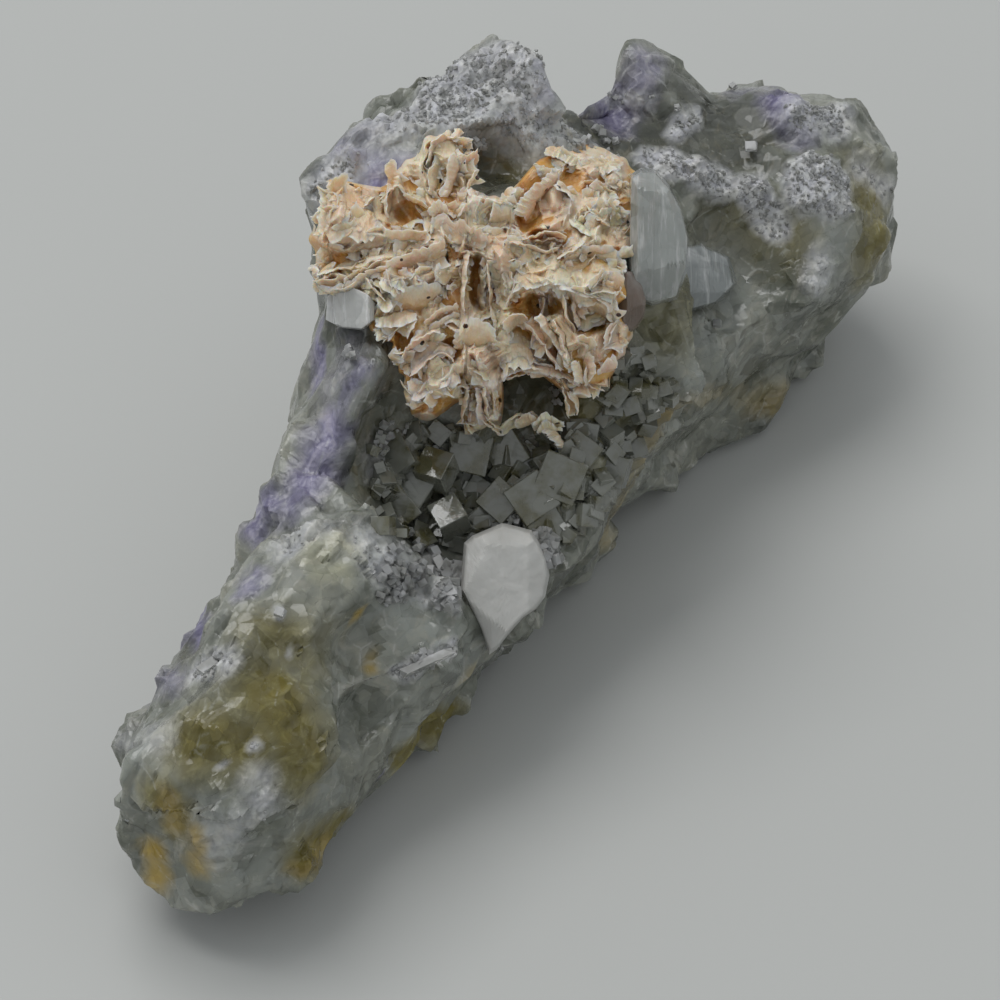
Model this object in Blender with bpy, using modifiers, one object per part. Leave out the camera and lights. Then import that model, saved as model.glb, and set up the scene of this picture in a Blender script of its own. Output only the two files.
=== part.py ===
"""A hand specimen: peach barite blades on a lump of grey and purple fluorite.

Metres, +Z up. X runs along the stone, -Y is the side with the hollow, and the stone rests on Z = 0.
"""

import math

import bmesh
import bpy
import numpy as np
from mathutils import Matrix, Vector
from mathutils.bvhtree import BVHTree

MM = 0.001

# Clearance between pieces that touch, so that each stays a solid of its own.
GAP = 0.45 * MM

# Cross-sections of the stone from its low near end to its far end, in mm: x, then twelve (y, z)
# points from the right foot, up the open side, over the crest and down the back to the left foot.
SECTIONS = [
    (-57, [(-14, 4.5), (-17, 6.5), (-18, 10), (-17, 14), (-14, 17.5), (-11, 19),
           (-8.5, 19.5), (-6, 18.5), (-3.5, 16), (-2.5, 12.5), (-4, 8), (-8, 4.5)]),
    (-52, [(-14, 3.5), (-19, 6), (-20, 10.5), (-18.5, 16), (-15.5, 20.5), (-11.5, 23.5),
           (-8.5, 23.5), (-5, 21.5), (-1.8, 18), (-0.4, 13), (-0.8, 8), (-5, 4)]),
    (-44, [(-13, 1.5), (-20, 5), (-21, 10.5), (-19.5, 17), (-16.5, 22.5), (-12, 26.5),
           (-8, 27), (-4, 25), (-0.8, 21), (1.6, 15), (2, 7), (-2, 1)]),
    (-34, [(-13, 0), (-18, 5), (-19.5, 11), (-18.5, 17), (-16, 22.5), (-12.5, 27),
           (-8, 28.5), (-3, 27.5), (1, 23.5), (4.2, 16.5), (5, 7), (2, 0)]),
    (-25, [(-12.5, 0), (-18, 7.5), (-19.5, 12.5), (-18, 17.5), (-14.5, 21), (-10, 24),
           (-5, 26.5), (0.5, 28.5), (4.5, 26.5), (7.8, 19.5), (9, 8), (6, 0)]),
    (-16, [(-12, 0), (-18.5, 11), (-19.5, 15), (-16.5, 18.5), (-12, 21.5), (-7, 25),
           (-1.5, 29.5), (4, 33.8), (9, 34), (12, 27), (13, 11), (9, 0)]),
    (-8, [(-10.5, 0), (-17, 11), (-18, 16), (-14.5, 21.5), (-10.5, 26.5), (-5.5, 31.5),
          (1, 36), (8.5, 40.6), (15.5, 41.6), (19.6, 34.5), (19, 14), (14, 0)]),
    (0, [(-9.5, 0), (-14.7, 9.2), (-16.2, 17), (-14, 25), (-10.5, 31.5), (-5, 36.5),
         (2, 41), (10.5, 45.2), (18.8, 46), (23.8, 38), (23, 16), (17, 0)]),
    (8, [(-8.8, 0), (-12.6, 7.2), (-14.6, 16), (-14, 25.5), (-12, 33), (-7, 38.5),
         (0, 43), (9, 47.4), (17, 48.2), (23.2, 40.5), (23.4, 17), (17.5, 0)]),
    (16, [(-8.2, 0), (-11, 6.2), (-13, 14), (-12.5, 23), (-10, 31), (-5, 37),
          (2, 42.5), (9.5, 48), (15.5, 50.6), (21, 42), (22.5, 18), (17.5, 0)]),
    (23, [(-8, 0), (-10.5, 5.2), (-12.6, 12), (-12, 20), (-8.5, 26), (-3.5, 31),
          (2, 35), (8, 38), (13, 39), (18, 31), (20.5, 16), (16.5, 0)]),
    (34, [(-8, 0), (-10.5, 5), (-13, 11.7), (-13, 19), (-9.5, 25), (-4, 29),
          (1.5, 32), (7.5, 35.4), (13, 36.5), (17.5, 28.5), (19, 14), (15, 0)]),
    (44, [(-7.8, 0.5), (-11, 6.4), (-13.6, 12.7), (-13.5, 19), (-10.5, 25), (-5.5, 29),
          (0, 31), (5, 31.2), (9, 29.5), (13.5, 24), (15.5, 13), (12, 0.5)]),
    (52, [(-6, 5.5), (-10, 9.2), (-12, 14), (-11.5, 19.5), (-9, 24.5), (-5, 28),
          (-0.5, 29.5), (4, 28.8), (8, 26.5), (11, 21), (12, 13), (8, 5)]),
    (57, [(-3, 11), (-6.5, 13), (-8.5, 16), (-8.5, 19.5), (-7, 22.5), (-4, 24.5),
          (-1, 25.5), (3, 25), (6, 23), (7.5, 19), (7, 14), (3, 11)]),
]
NEAR_TIP = (-59, -9.5, 11)
FAR_TIP = (59, 0, 18)
ROWS, COLUMNS = 150, 132
STONE_TRIANGLES = 4300
CUTTER_VOXEL, CUTTER_KEEP = 0.5 * MM, 0.025
FINE_VOXEL, FINE_KEEP = 0.3 * MM, 0.1

# Swellings (height over 0) and hollows (under 0) on the stone, in mm: place, radius, height.
SWELLINGS = [
    ((13.5, 14, 50), 6, 1.4),
    ((17, 7.6, 46), 5, 2.2),
    ((5, 23, 45), 5, -0.7),
    ((-4, 20.4, 42), 5, -0.3),
    ((41, 11.5, 34.5), 7, 3),
    ((50, 0.3, 31.3), 5, 1.2),
    ((54, -5.8, 27), 6, 0.6),
    ((43.7, -8.6, 27), 5.5, 2.4),
    ((37.3, -6.1, 28.3), 3.5, 1.8),
    ((38.5, -12.4, 21.4), 7, 1.8),
    ((32.3, -0.5, 31.7), 4.5, 1.6),
    ((-30.6, -8.5, 27.5), 9, 1.8),
    ((-24.9, -10.9, 23.4), 5, 1.6),
    ((-48.5, -17, 19.5), 10, 1.6),
    ((-57, -7, 13), 6, 1),
    ((-27.6, -17.3, 18.8), 8.5, 2.4),
    ((-14.7, 2.4, 33), 7, 2.4),
    ((-26.7, 0.5, 28), 7, 1),
    ((10.5, -13.8, 23.6), 7, 2.8),
    ((2.4, -12.6, 29.2), 5, 1.6),
    ((-13, -9.5, 24.5), 12.5, -6),
    ((-4, -12, 27), 8, -3),
    ((6.8, 4.6, 45.2), 5, -3.6),
    ((29.9, -8.2, 25.9), 9, -3.4),
    ((42.5, 5, 34.5), 7, -2),
    ((-34.7, -15.6, 23.3), 5, -2.4),
    ((-37.5, -19, 16.5), 4.5, -2),
    ((-3.2, -10.4, 29.7), 4.5, -2.6),
    ((20, 16, 20), 9, 1.5),
    ((-6, 20, 24), 10, -1.5),
    ((36, 18, 22), 8, 0.6),
    ((-20, 12, 16), 8, -2),
    ((10, 22.5, 30), 8, -2),
    ((12.6, 18.5, 49), 6.5, -3),
    ((18.5, 13.8, 49.8), 5, 2.1),
    ((29, 15.5, 35), 6, -3.2),
    ((-12.5, 15, 31), 7, -1.8),
    ((20.2, 10, 47), 7, -2.2),
    ((33.1, 16.7, 32), 7, -3),
    ((3.7, 24.3, 42.8), 7, -1.9),
    ((52.9, 2.2, 30.3), 7, -1.3),
    ((14.8, 15.8, 51.7), 7, -2.7),
    ((-60, -10, 5.3), 7, 0.4),
    ((-4.4, 23.3, 35.1), 7, -1.7),
    ((16, 22.2, 43.2), 7, -2.4),
    ((9.9, -11.7, 0.7), 7, -2.5),
    ((-14.9, -15.5, 1.6), 7, -0.8),
    ((-9.5, 17.5, 25.1), 7, -1.6),
    ((-8.1, -17, 8.9), 7, -0.7),
    ((56.9, -5.2, 27.4), 7, -0.7),
    ((-58.5, -3.6, 14.4), 7, -2.1),
    ((-25, 4.7, 28.6), 7, 0.7),
    ((4.1, 20.7, 48.4), 7, -2.7),
    ((-43, -21.9, 5.8), 7, -1.5),
    ((-10.7, 17.4, 36.1), 7, -1.8),
    ((56.4, 4.7, 26.6), 7, -1.4),
    ((-4.4, -14.5, 3.5), 7, -0.7),
    ((27.7, 11.3, 37.2), 7, -2.3),
    ((-54.3, -2.4, 20.8), 7, -1.7),
    ((-4.2, 23.1, 42.4), 7, -2.3),
    ((38.6, 10.2, 35), 7, 0.8),
    ((-20.9, 8.1, 31.2), 7, -0.7),
    ((-8.6, 20.9, 32), 7, -1.3),
    ((-16.8, 10, 34.8), 7, -1),
    ((54.5, -13.3, 19), 7, -0.9),
    ((47.2, -12.7, 7.6), 7, -0.7),
    ((-30.5, 3.5, 24), 7, 1),
    ((-6.6, 20.5, 38.2), 6, -0.9),
    ((57.2, -10.3, 16.1), 6, -0.8),
    ((-46.2, 0.5, 20.4), 6, -0.8),
    ((-49.8, -21.1, 7.2), 6, 1.8),
    ((42.6, 8.5, 31.1), 6, 1.3),
    ((-59.9, -5.2, 8.2), 6, -0.9),
    ((-19.7, -18.9, 9), 6, -1.2),
]

# Flat breaks and crystal faces, coarse ones and then fine ones: how many, how far each
# leans from the surface, and how far it may move the surface.
BREAKS = [(400, 0.26, 1.2 * MM), (900, 0.30, 0.6 * MM)]
NEAREST_PLANES = 4
LEAST_SLOPE = 0.4

# The barite patch: where its middle sits, and the directions of its face.
PATCH = Vector((-2.1, -0.7, 38.4)) * MM
OUT = Vector((-0.525, -0.473, 0.707)).normalized()
RIGHT = Vector((0.669, -0.743, 0)).normalized()
UP = OUT.cross(RIGHT)
SIGHT_START = 60 * MM

# Barite blades in mm and degrees: right and up on the patch, turn of the visible edge,
# lean from standing (0) to lying flat (90), width, height.
BLADES = [
    (-11.3, 1.2, 8, 35, 11, 6), (-9.4, 0.0, 20, 55, 12, 6), (-13.0, 6.0, 20, 75, 8, 8),
    (-14.0, 2.6, 0, 60, 6, 6), (-1.9, -0.6, 92, 8, 7, 7), (1.2, -2.4, 80, -8, 7.5, 7),
    (-0.5, 3.4, 5, 42, 10, 6), (-2.9, 5.6, -10, 60, 9, 5.5), (8.4, 1.0, 14, 58, 11, 7),
    (10.8, 3.0, 30, 35, 7, 6), (11.6, -1.0, -20, 25, 7, 6), (10.3, -2.4, 42, 12, 6, 6),
    (6.1, -2.6, 88, 4, 5, 6), (8.7, -3.6, 80, 2, 6, 6), (5.0, -6.4, -58, 12, 9, 6),
    (6.6, -7.0, -66, 10, 9, 6), (8.2, -7.4, -76, 12, 8, 6), (3.0, -5.2, -35, 60, 9, 6.5),
    (0.8, -7.2, 20, 68, 8, 6), (-5.0, -7.4, 28, 62, 8, 7.5), (-4.2, -11.0, 26, 48, 8, 6),
    (-1.0, -10.4, 75, 32, 7, 6), (0.6, -12.0, 60, 14, 6, 5), (-8.3, -4.2, -4, 45, 6, 4.5),
    (-7.6, -1.8, 32, 58, 8, 6), (-4.6, -2.2, 48, 46, 7, 6), (4.9, 7.6, 44, 24, 10, 6),
    (6.9, 8.6, 38, 50, 9, 6), (9.3, 8.8, -36, 30, 8, 6), (11.6, 7.4, -24, 60, 7, 6),
    (11.8, 4.8, 10, 68, 8, 5), (7.8, 4.6, -32, 28, 8, 6), (3.9, 4.2, 36, 42, 8, 6),
    (-2.9, 11.0, 80, 58, 8, 5), (-4.2, 8.6, 60, 50, 7, 5), (-6.4, 7.0, 0, 60, 7, 5),
    (-8.8, 4.8, -30, 50, 7, 6), (-10.6, 3.4, 12, 40, 8, 6), (12.4, -4.6, -70, 30, 7, 5),
    (9.8, -7.6, -50, 24, 7, 5), (10.4, -9.8, 70, 24, 5, 5), (3.9, -1.8, 10, 34, 7, 6),
    (2.6, -13.4, 30, 50, 6, 4.5), (5.2, -14.6, 10, 60, 7, 4.5), (6.8, -15.8, -58, 50, 5, 4),
]
BLADE_THICKNESS = 1.1 * MM
BLADE_CORNERS = 8
BLADE_RADII = (0.5, 0.42)
STANDING_LIFT, LYING_LIFT = 0.10, 1.6
BLADE_REACH = (0.78, 1.18)
BLADE_BED = (2.7 * MM, 1.5 * MM)
BARITE_VOXEL, BARITE_KEEP = 0.25 * MM, 0.06
BARITE_THIN = 0.032
BED_VOXEL, BED_KEEP = 0.7 * MM, 0.12

# Fluorite cubes in the hollow, in mm: right and up on the patch, edge.
CUBES = [
    (-4.6, -17.6, 3.6), (-2.9, -22.0, 3.8), (-7.2, -19.4, 4.2), (-1.0, -18.0, 3.4),
    (1.6, -20.2, 4.6), (4.6, -19.4, 3.8), (7.6, -18.0, 3.6), (10.2, -17.0, 3.2),
    (5.8, -22.4, 4.4), (0.6, -23.6, 3.6), (-5.8, -23.4, 3.6), (-9.0, -16.6, 3.4),
    (2.8, -16.6, 3.0), (9.2, -20.8, 3.6), (3.0, -24.4, 3.4), (12.4, -14.4, 3.0),
    (-6.0, -14.6, 2.8), (7.4, -25.0, 3.2), (-3.4, -25.2, 2.8),
]
CUBE_TURNS = (28, 22, 12)
CUBE_SPREAD = 20
CUBE_LIFT = 0.18
CUBE_BED = (2.5 * MM, 1.4 * MM)


def catmull_rom(values, at, closed=False):
    """Values at fractional indexes of a list of points, on a smooth curve through them."""
    values = np.asarray(values, float)
    start = np.floor(at).astype(int)
    t = (at - start).reshape((-1,) + (1,) * (values.ndim - 1))

    def point(step):
        index = start + step
        return values[index % len(values) if closed else np.clip(index, 0, len(values) - 1)]

    a, b, c, d = point(-1), point(0), point(1), point(2)
    return b + 0.5 * t * (c - a + t * (2 * a - 5 * b + 4 * c - d + t * (3 * (b - c) + d - a)))


def grid_slopes(grid):
    """Outward vectors of a grid that closes along its second axis, each as long as its cell is large."""
    along = np.gradient(grid, axis=0)
    around = np.roll(grid, -1, axis=1) - np.roll(grid, 1, axis=1)
    return np.cross(along, around)


def grid_normals(grid):
    slopes = grid_slopes(grid)
    normals = slopes / np.maximum(np.linalg.norm(slopes, axis=-1, keepdims=True), 1e-12)
    normals[0] = (-1, 0, 0)
    normals[-1] = (1, 0, 0)
    return normals


def swell(grid):
    """Moves each point along its normal by height * (1 - (distance / radius)^2)^2 of each swelling."""
    normals = grid_normals(grid)
    lift = np.zeros(grid.shape[:2])
    for place, radius, height in SWELLINGS:
        distance = np.linalg.norm(grid - np.array(place) * MM, axis=-1) / (radius * MM)
        lift += height * MM * np.clip(1 - distance**2, 0, None) ** 2
    return grid + normals * lift[..., None]


def chisel(grid, draw, count, lean, reach):
    """Moves each point onto the lowest of its nearest tilted tangent planes, which leaves flat breaks."""
    points = grid.reshape(-1, 3)
    outward = grid_normals(grid).reshape(-1, 3)
    share = np.linalg.norm(grid_slopes(grid), axis=-1).ravel()
    chosen = draw.choice(len(points), count, replace=False, p=share / share.sum())
    seats = points[chosen]
    facing = outward[chosen] + lean * (draw.rand(count, 3) * 2 - 1)
    facing /= np.linalg.norm(facing, axis=-1, keepdims=True)
    away = (points**2).sum(1)[:, None] + (seats**2).sum(1) - 2 * points @ seats.T
    nearest = np.argpartition(away, NEAREST_PLANES, axis=1)[:, :NEAREST_PLANES]
    rise = ((seats[nearest] - points[:, None]) * facing[nearest]).sum(-1)
    slope = np.maximum((outward[:, None] * facing[nearest]).sum(-1), LEAST_SLOPE)
    lift = np.clip((rise / slope).min(1), -reach, reach)
    lift -= np.average(lift, weights=share)
    return grid + (outward * lift[:, None]).reshape(grid.shape)


def stone_surface(rows, columns):
    """The loft through the sections as a grid of points, with a pole at each end and a flat foot."""
    rings = [[(x, y, z) for y, z in ring] for x, ring in SECTIONS]
    rings = [[NEAR_TIP] * 12] + rings + [[FAR_TIP] * 12]
    along = catmull_rom(rings, np.linspace(0, len(rings) - 1, rows))
    around = catmull_rom(along.swapaxes(0, 1), np.arange(columns) * 12 / columns, closed=True)
    grid = swell(around.swapaxes(0, 1) * MM)
    draw = np.random.RandomState(11)
    for count, lean, reach in BREAKS:
        grid = chisel(grid, draw, count, lean, reach)
    grid[..., 2] = np.maximum(grid[..., 2], 0)
    grid[0] = grid[0].mean(0)
    grid[-1] = grid[-1].mean(0)
    return grid


def clear_scene():
    for thing in list(bpy.data.objects):
        bpy.data.objects.remove(thing)


def collection(name):
    made = bpy.data.collections.new(name)
    bpy.context.scene.collection.children.link(made)
    return made


def material(name, colour, roughness, transmission=0.0):
    made = bpy.data.materials.new(name)
    made.use_nodes = True
    shader = made.node_tree.nodes["Principled BSDF"]
    shader.inputs["Base Color"].default_value = (*colour, 1)
    shader.inputs["Roughness"].default_value = roughness
    shader.inputs["Metallic"].default_value = 0.0
    shader.inputs["Transmission Weight"].default_value = transmission
    made.diffuse_color = (*colour, 1)
    return made


def mesh_object(name, mesh, group, finish=None):
    thing = bpy.data.objects.new(name, mesh)
    group.objects.link(thing)
    if finish:
        mesh.materials.append(finish)
    return thing


def grid_mesh(name, grid):
    """A closed mesh on a grid whose first and last rows are poles."""
    rows, columns = grid.shape[:2]
    points = np.concatenate([grid[:1, 0], grid[1:-1].reshape(-1, 3), grid[-1:, 0]])
    last = len(points) - 1
    column = np.arange(columns)
    beside = (column + 1) % columns
    lower = 1 + np.arange(rows - 3)[:, None] * columns
    quads = np.stack([lower + column, lower + columns + column,
                      lower + columns + beside, lower + beside], -1).reshape(-1, 4)
    near = np.stack([column * 0, 1 + column, 1 + beside], -1)
    far_row = 1 + (rows - 3) * columns
    far = np.stack([far_row + beside, far_row + column, column * 0 + last], -1)
    mesh = bpy.data.meshes.new(name)
    mesh.from_pydata(points.tolist(), [], quads.tolist() + near.tolist() + far.tolist())
    return mesh


def evaluated_mesh(thing):
    bpy.context.view_layer.update()
    graph = bpy.context.evaluated_depsgraph_get()
    return bpy.data.meshes.new_from_object(thing.evaluated_get(graph))


def bake_modifiers(thing):
    """Replaces an object's mesh by what its modifiers make of it."""
    mesh = evaluated_mesh(thing)
    thing.modifiers.clear()
    thing.data = mesh


def make_stone():
    stone = mesh_object("fluorite_stone", grid_mesh("fluorite_stone", stone_surface(ROWS, COLUMNS)),
                        parts, material("fluorite", (0.36, 0.37, 0.33), 0.35))
    thin = stone.modifiers.new("flat_faces", "DECIMATE")
    thin.use_collapse_triangulate = True
    thin.ratio = STONE_TRIANGLES / (2 * ROWS * COLUMNS)
    bake_modifiers(stone)
    return stone


def grown(thing, voxel, keep):
    """A copy of a piece, moved out by the gap and made one clean skin, that clears its neighbours."""
    copy = mesh_object(thing.name + "_grown", thing.data.copy(), cutters)
    copy.hide_render = True
    copy.display_type = "WIRE"
    push = copy.modifiers.new("grow", "DISPLACE")
    push.strength = GAP
    push.mid_level = 0
    skin = copy.modifiers.new("one_skin", "REMESH")
    skin.mode = "VOXEL"
    skin.voxel_size = voxel
    thin = copy.modifiers.new("few_faces", "DECIMATE")
    thin.ratio = keep
    bake_modifiers(copy)
    return copy


def cut(thing, cutter):
    """Takes a grown copy of a neighbour away from a piece and drops any crumb that the cut leaves."""
    clip = thing.modifiers.new("clear_of_" + cutter.name, "BOOLEAN")
    clip.operation = "DIFFERENCE"
    clip.object = cutter
    clip.solver = "EXACT"
    bake_modifiers(thing)
    keep_largest_body(thing)


def keep_largest_body(thing):
    """Removes the crumbs that a cut leaves, so that the piece is one body."""
    work = bmesh.new()
    work.from_mesh(thing.data)
    unseen = set(work.verts)
    bodies = []
    while unseen:
        reached = [unseen.pop()]
        for corner in reached:
            for edge in corner.link_edges:
                other = edge.other_vert(corner)
                if other in unseen:
                    unseen.discard(other)
                    reached.append(other)
        bodies.append(reached)
    bodies.sort(key=len)
    crumbs = [corner for body in bodies[:-1] for corner in body]
    bmesh.ops.delete(work, geom=crumbs, context="VERTS")
    work.to_mesh(thing.data)
    work.free()


def one_skin(thing, voxel):
    skin = thing.modifiers.new("one_skin", "REMESH")
    skin.mode = "VOXEL"
    skin.voxel_size = voxel
    bake_modifiers(thing)
    keep_largest_body(thing)


def thin_out(thing, keep):
    thin = thing.modifiers.new("few_faces", "DECIMATE")
    thin.ratio = keep
    thin.use_collapse_triangulate = True
    bake_modifiers(thing)


def seat(right, up):
    """Where the line of sight onto the patch, this far right and up of its middle, meets the stone."""
    start = PATCH + (RIGHT * right + UP * up) * MM + OUT * SIGHT_START
    hit = stone_tree.ray_cast(start, -OUT)[0]
    return hit if hit else PATCH + (RIGHT * right + UP * up) * MM


def tablet(draw, centre, across, rise, width, height):
    """A barite tablet with an uneven outline and a bevelled rim, in the plane of across and rise."""
    work = bmesh.new()
    made = bmesh.ops.create_cone(work, cap_ends=True, segments=BLADE_CORNERS, radius1=BLADE_RADII[0],
                                 radius2=BLADE_RADII[1], depth=BLADE_THICKNESS)["verts"]
    facing = across.cross(rise)
    pulls = draw.uniform(*BLADE_REACH, BLADE_CORNERS)
    start = math.radians(90 * draw.rand())
    for corner in made:
        reach = math.hypot(corner.co.x, corner.co.y)
        angle = math.atan2(corner.co.y, corner.co.x) % (2 * math.pi)
        reach *= pulls[round(angle / (2 * math.pi) * BLADE_CORNERS) % BLADE_CORNERS]
        corner.co = (centre + across * width * reach * math.cos(angle + start)
                     + rise * height * reach * math.sin(angle + start) + facing * corner.co.z)
    return shell_mesh("tablet", work)


def union_of(name, shells, bed, finish):
    """Joins crossing closed shells, one after the other, to the bed that they stand on."""
    joined = mesh_object(name, bed, parts, finish)
    for number, shell in enumerate(shells):
        cutter = mesh_object(f"{name}_{number}", shell, cutters)
        cutter.hide_render = True
        cutter.display_type = "WIRE"
        weld = joined.modifiers.new("join", "BOOLEAN")
        weld.operation = "UNION"
        weld.object = cutter
        weld.solver = "EXACT"
        bake_modifiers(joined)
    keep_largest_body(joined)
    return joined


def shell_mesh(name, work):
    """Turns one built shell into a mesh that faces outward."""
    bmesh.ops.recalc_face_normals(work, faces=work.faces)
    mesh = bpy.data.meshes.new(name)
    work.to_mesh(mesh)
    work.free()
    return mesh


def bed_mesh(name, places, radius, sink):
    """A low rounded bed under a group of crystals: a lump at each place, made one skin by Remesh."""
    work = bmesh.new()
    for place in places:
        bmesh.ops.create_icosphere(work, subdivisions=2, radius=radius,
                                   matrix=Matrix.Translation(place - OUT * sink))
    rough = bpy.data.meshes.new(name)
    work.to_mesh(rough)
    work.free()
    lump = mesh_object(name + "_lump", rough, cutters)
    skin = lump.modifiers.new("one_skin", "REMESH")
    skin.mode = "VOXEL"
    skin.voxel_size = BED_VOXEL
    thin = lump.modifiers.new("few_faces", "DECIMATE")
    thin.ratio = BED_KEEP
    mesh = evaluated_mesh(lump)
    bpy.data.objects.remove(lump)
    return mesh


def make_barite():
    draw = np.random.RandomState(5)
    shells = []
    seats = []
    for right, up, turn, lean, width, height in BLADES:
        foot = seat(right, up)
        turn, lean = math.radians(turn), math.radians(lean)
        across = RIGHT * math.cos(turn) + UP * math.sin(turn)
        sideways = UP * math.cos(turn) - RIGHT * math.sin(turn)
        rise = OUT * math.cos(lean) + sideways * math.sin(lean)
        lift = STANDING_LIFT * height * math.cos(lean) + LYING_LIFT * abs(math.sin(lean))
        shells.append(tablet(draw, foot + OUT * lift * MM, across, rise, width * MM, height * MM))
        seats.append(foot)
    work = bmesh.new()
    for shell in shells + [bed_mesh("barite_bed", seats, *BLADE_BED)]:
        work.from_mesh(shell)
    mesh = bpy.data.meshes.new("barite_blades")
    work.to_mesh(mesh)
    work.free()
    barite = mesh_object("barite_blades", mesh, parts, material("barite", (0.80, 0.62, 0.47), 0.45))
    one_skin(barite, BARITE_VOXEL)
    thin_out(barite, BARITE_KEEP)
    return barite


def make_hollow_crust():
    draw = np.random.RandomState(9)
    shells = []
    seats = []
    grain = Matrix([RIGHT, UP, OUT]).transposed().to_4x4()
    for right, up, edge in CUBES:
        foot = seat(right, up)
        turns = [math.radians(turn + draw.uniform(-CUBE_SPREAD, CUBE_SPREAD)) for turn in CUBE_TURNS]
        lie = (Matrix.Translation(foot + OUT * CUBE_LIFT * edge * MM) @ grain
               @ Matrix.Rotation(turns[0], 4, "X") @ Matrix.Rotation(turns[1], 4, "Y")
               @ Matrix.Rotation(turns[2], 4, "Z"))
        work = bmesh.new()
        bmesh.ops.create_cube(work, size=edge * MM, matrix=lie)
        shells.append(shell_mesh("cube", work))
        seats.append(foot)
    bed = bed_mesh("crust_bed", seats, *CUBE_BED)
    return union_of("hollow_crust", shells, bed,
                    material("cube_fluorite", (0.22, 0.23, 0.20), 0.12))


# How much wider than its face each single crystal is at the back.
BACK_SPREAD = 1.06


def crystal(name, outline, depth, lift, turns, bevel, finish):
    """A crystal on the stone: a bevelled prism whose front face has the outline, in patch mm."""
    middle = [sum(values) / len(outline) for values in zip(*outline)]
    work = bmesh.new()
    front = [work.verts.new((right - middle[0], up - middle[1], depth / 2)) for right, up in outline]
    face = work.faces.new(front)
    grown_out = bmesh.ops.extrude_face_region(work, geom=[face])["geom"]
    back = [item for item in grown_out if isinstance(item, bmesh.types.BMVert)]
    for corner in back:
        corner.co = Vector((corner.co.x * BACK_SPREAD, corner.co.y * BACK_SPREAD, -depth / 2))
    bmesh.ops.bevel(work, geom=list(work.edges), offset=bevel, segments=1, affect="EDGES")
    lie = (Matrix.Translation(seat(*middle) + OUT * lift * MM)
           @ Matrix([RIGHT, UP, OUT]).transposed().to_4x4())
    for axis, angle in zip("XYZ", turns):
        lie = lie @ Matrix.Rotation(math.radians(angle), 4, axis)
    bmesh.ops.transform(work, matrix=lie @ Matrix.Scale(MM, 4), verts=work.verts)
    return mesh_object(name, shell_mesh(name, work), parts, finish)


clear_scene()
parts = collection("barite_crystal")
cutters = collection("cutters")
stone = make_stone()
stone_tree = BVHTree.FromObject(stone, bpy.context.evaluated_depsgraph_get())
stone_grown = grown(stone, CUTTER_VOXEL, CUTTER_KEEP)

clear = material("clear_crystal", (0.62, 0.65, 0.64), 0.1, 0.8)
singles = [
    crystal("clear_crystal", [(14.8, 9.6), (17.6, 10.4), (20.4, 8.2), (21.0, 3.0), (20.4, -1.2),
                              (17.2, -2.0), (15.0, -0.4)], 10, 4.6, (0, 12, 0), 0.7, clear),
    crystal("smoky_crystal", [(13.9, 1.2), (15.0, 2.0), (16.2, 0.6), (16.3, -2.6), (15.2, -4.6),
                              (14.0, -3.8), (13.3, -1.2)], 4, 1.4, (0, 0, 0), 0.5,
            material("smoky", (0.38, 0.32, 0.28), 0.1, 0.5)),
    crystal("white_crystal", [(-14.9, -1.4), (-13.2, -0.9), (-10.9, -1.6), (-10.5, -3.2),
                              (-11.0, -4.4), (-14.4, -4.4)], 4.4, 1.6, (6, -8, 0), 0.6,
            material("white_crystal", (0.74, 0.75, 0.73), 0.25, 0.3)),
    crystal("calcite_crystal", [(-1.4, -25.5), (1.8, -24.2), (5.1, -24.8), (6.5, -27.6),
                                (6.4, -30.6), (5.1, -32.8), (2.7, -34.5), (1.2, -36.4),
                                (0.4, -34.1), (-1.4, -31.4), (-1.8, -28.4)],
            5, 1.2, (-10, 8, 0), 0.5, material("calcite", (0.66, 0.63, 0.60), 0.4)),
]
crust = make_hollow_crust()
barite = make_barite()
singles_grown = []
for single in singles:
    for neighbour in [stone_grown] + singles_grown:
        cut(single, neighbour)
    singles_grown.append(grown(single, FINE_VOXEL, FINE_KEEP))
cut(crust, stone_grown)
for single in singles_grown:
    cut(crust, single)
cut(barite, stone_grown)
for neighbour in [grown(crust, FINE_VOXEL, FINE_KEEP)] + singles_grown:
    cut(barite, neighbour)
one_skin(barite, BARITE_VOXEL)
thin_out(barite, BARITE_THIN)

corners = np.array([corner.co for thing in parts.objects for corner in thing.data.vertices])
lowest, highest = corners.min(0), corners.max(0)
middle = (lowest + highest) / 2
centring = Matrix.Translation((-middle[0], -middle[1], -lowest[2]))
for thing in list(parts.objects) + list(cutters.objects):
    thing.data.transform(centring)
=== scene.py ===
import math

import bmesh
import bpy
import numpy as np
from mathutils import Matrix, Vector
from mathutils.bvhtree import BVHTree


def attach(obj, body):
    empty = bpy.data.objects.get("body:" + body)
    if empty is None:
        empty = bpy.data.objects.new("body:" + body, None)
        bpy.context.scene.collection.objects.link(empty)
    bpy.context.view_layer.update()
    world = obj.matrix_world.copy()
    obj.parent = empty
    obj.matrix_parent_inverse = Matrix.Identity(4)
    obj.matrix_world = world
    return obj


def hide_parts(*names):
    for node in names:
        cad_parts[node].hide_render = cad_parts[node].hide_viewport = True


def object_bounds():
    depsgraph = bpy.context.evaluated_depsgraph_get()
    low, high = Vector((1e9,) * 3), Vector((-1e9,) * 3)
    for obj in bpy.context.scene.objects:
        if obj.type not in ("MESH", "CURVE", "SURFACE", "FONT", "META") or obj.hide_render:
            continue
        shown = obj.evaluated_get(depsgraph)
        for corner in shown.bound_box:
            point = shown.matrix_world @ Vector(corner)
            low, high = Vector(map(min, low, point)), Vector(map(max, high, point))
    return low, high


# A hand specimen of peach barite blades on grey and purple fluorite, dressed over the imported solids.

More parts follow.
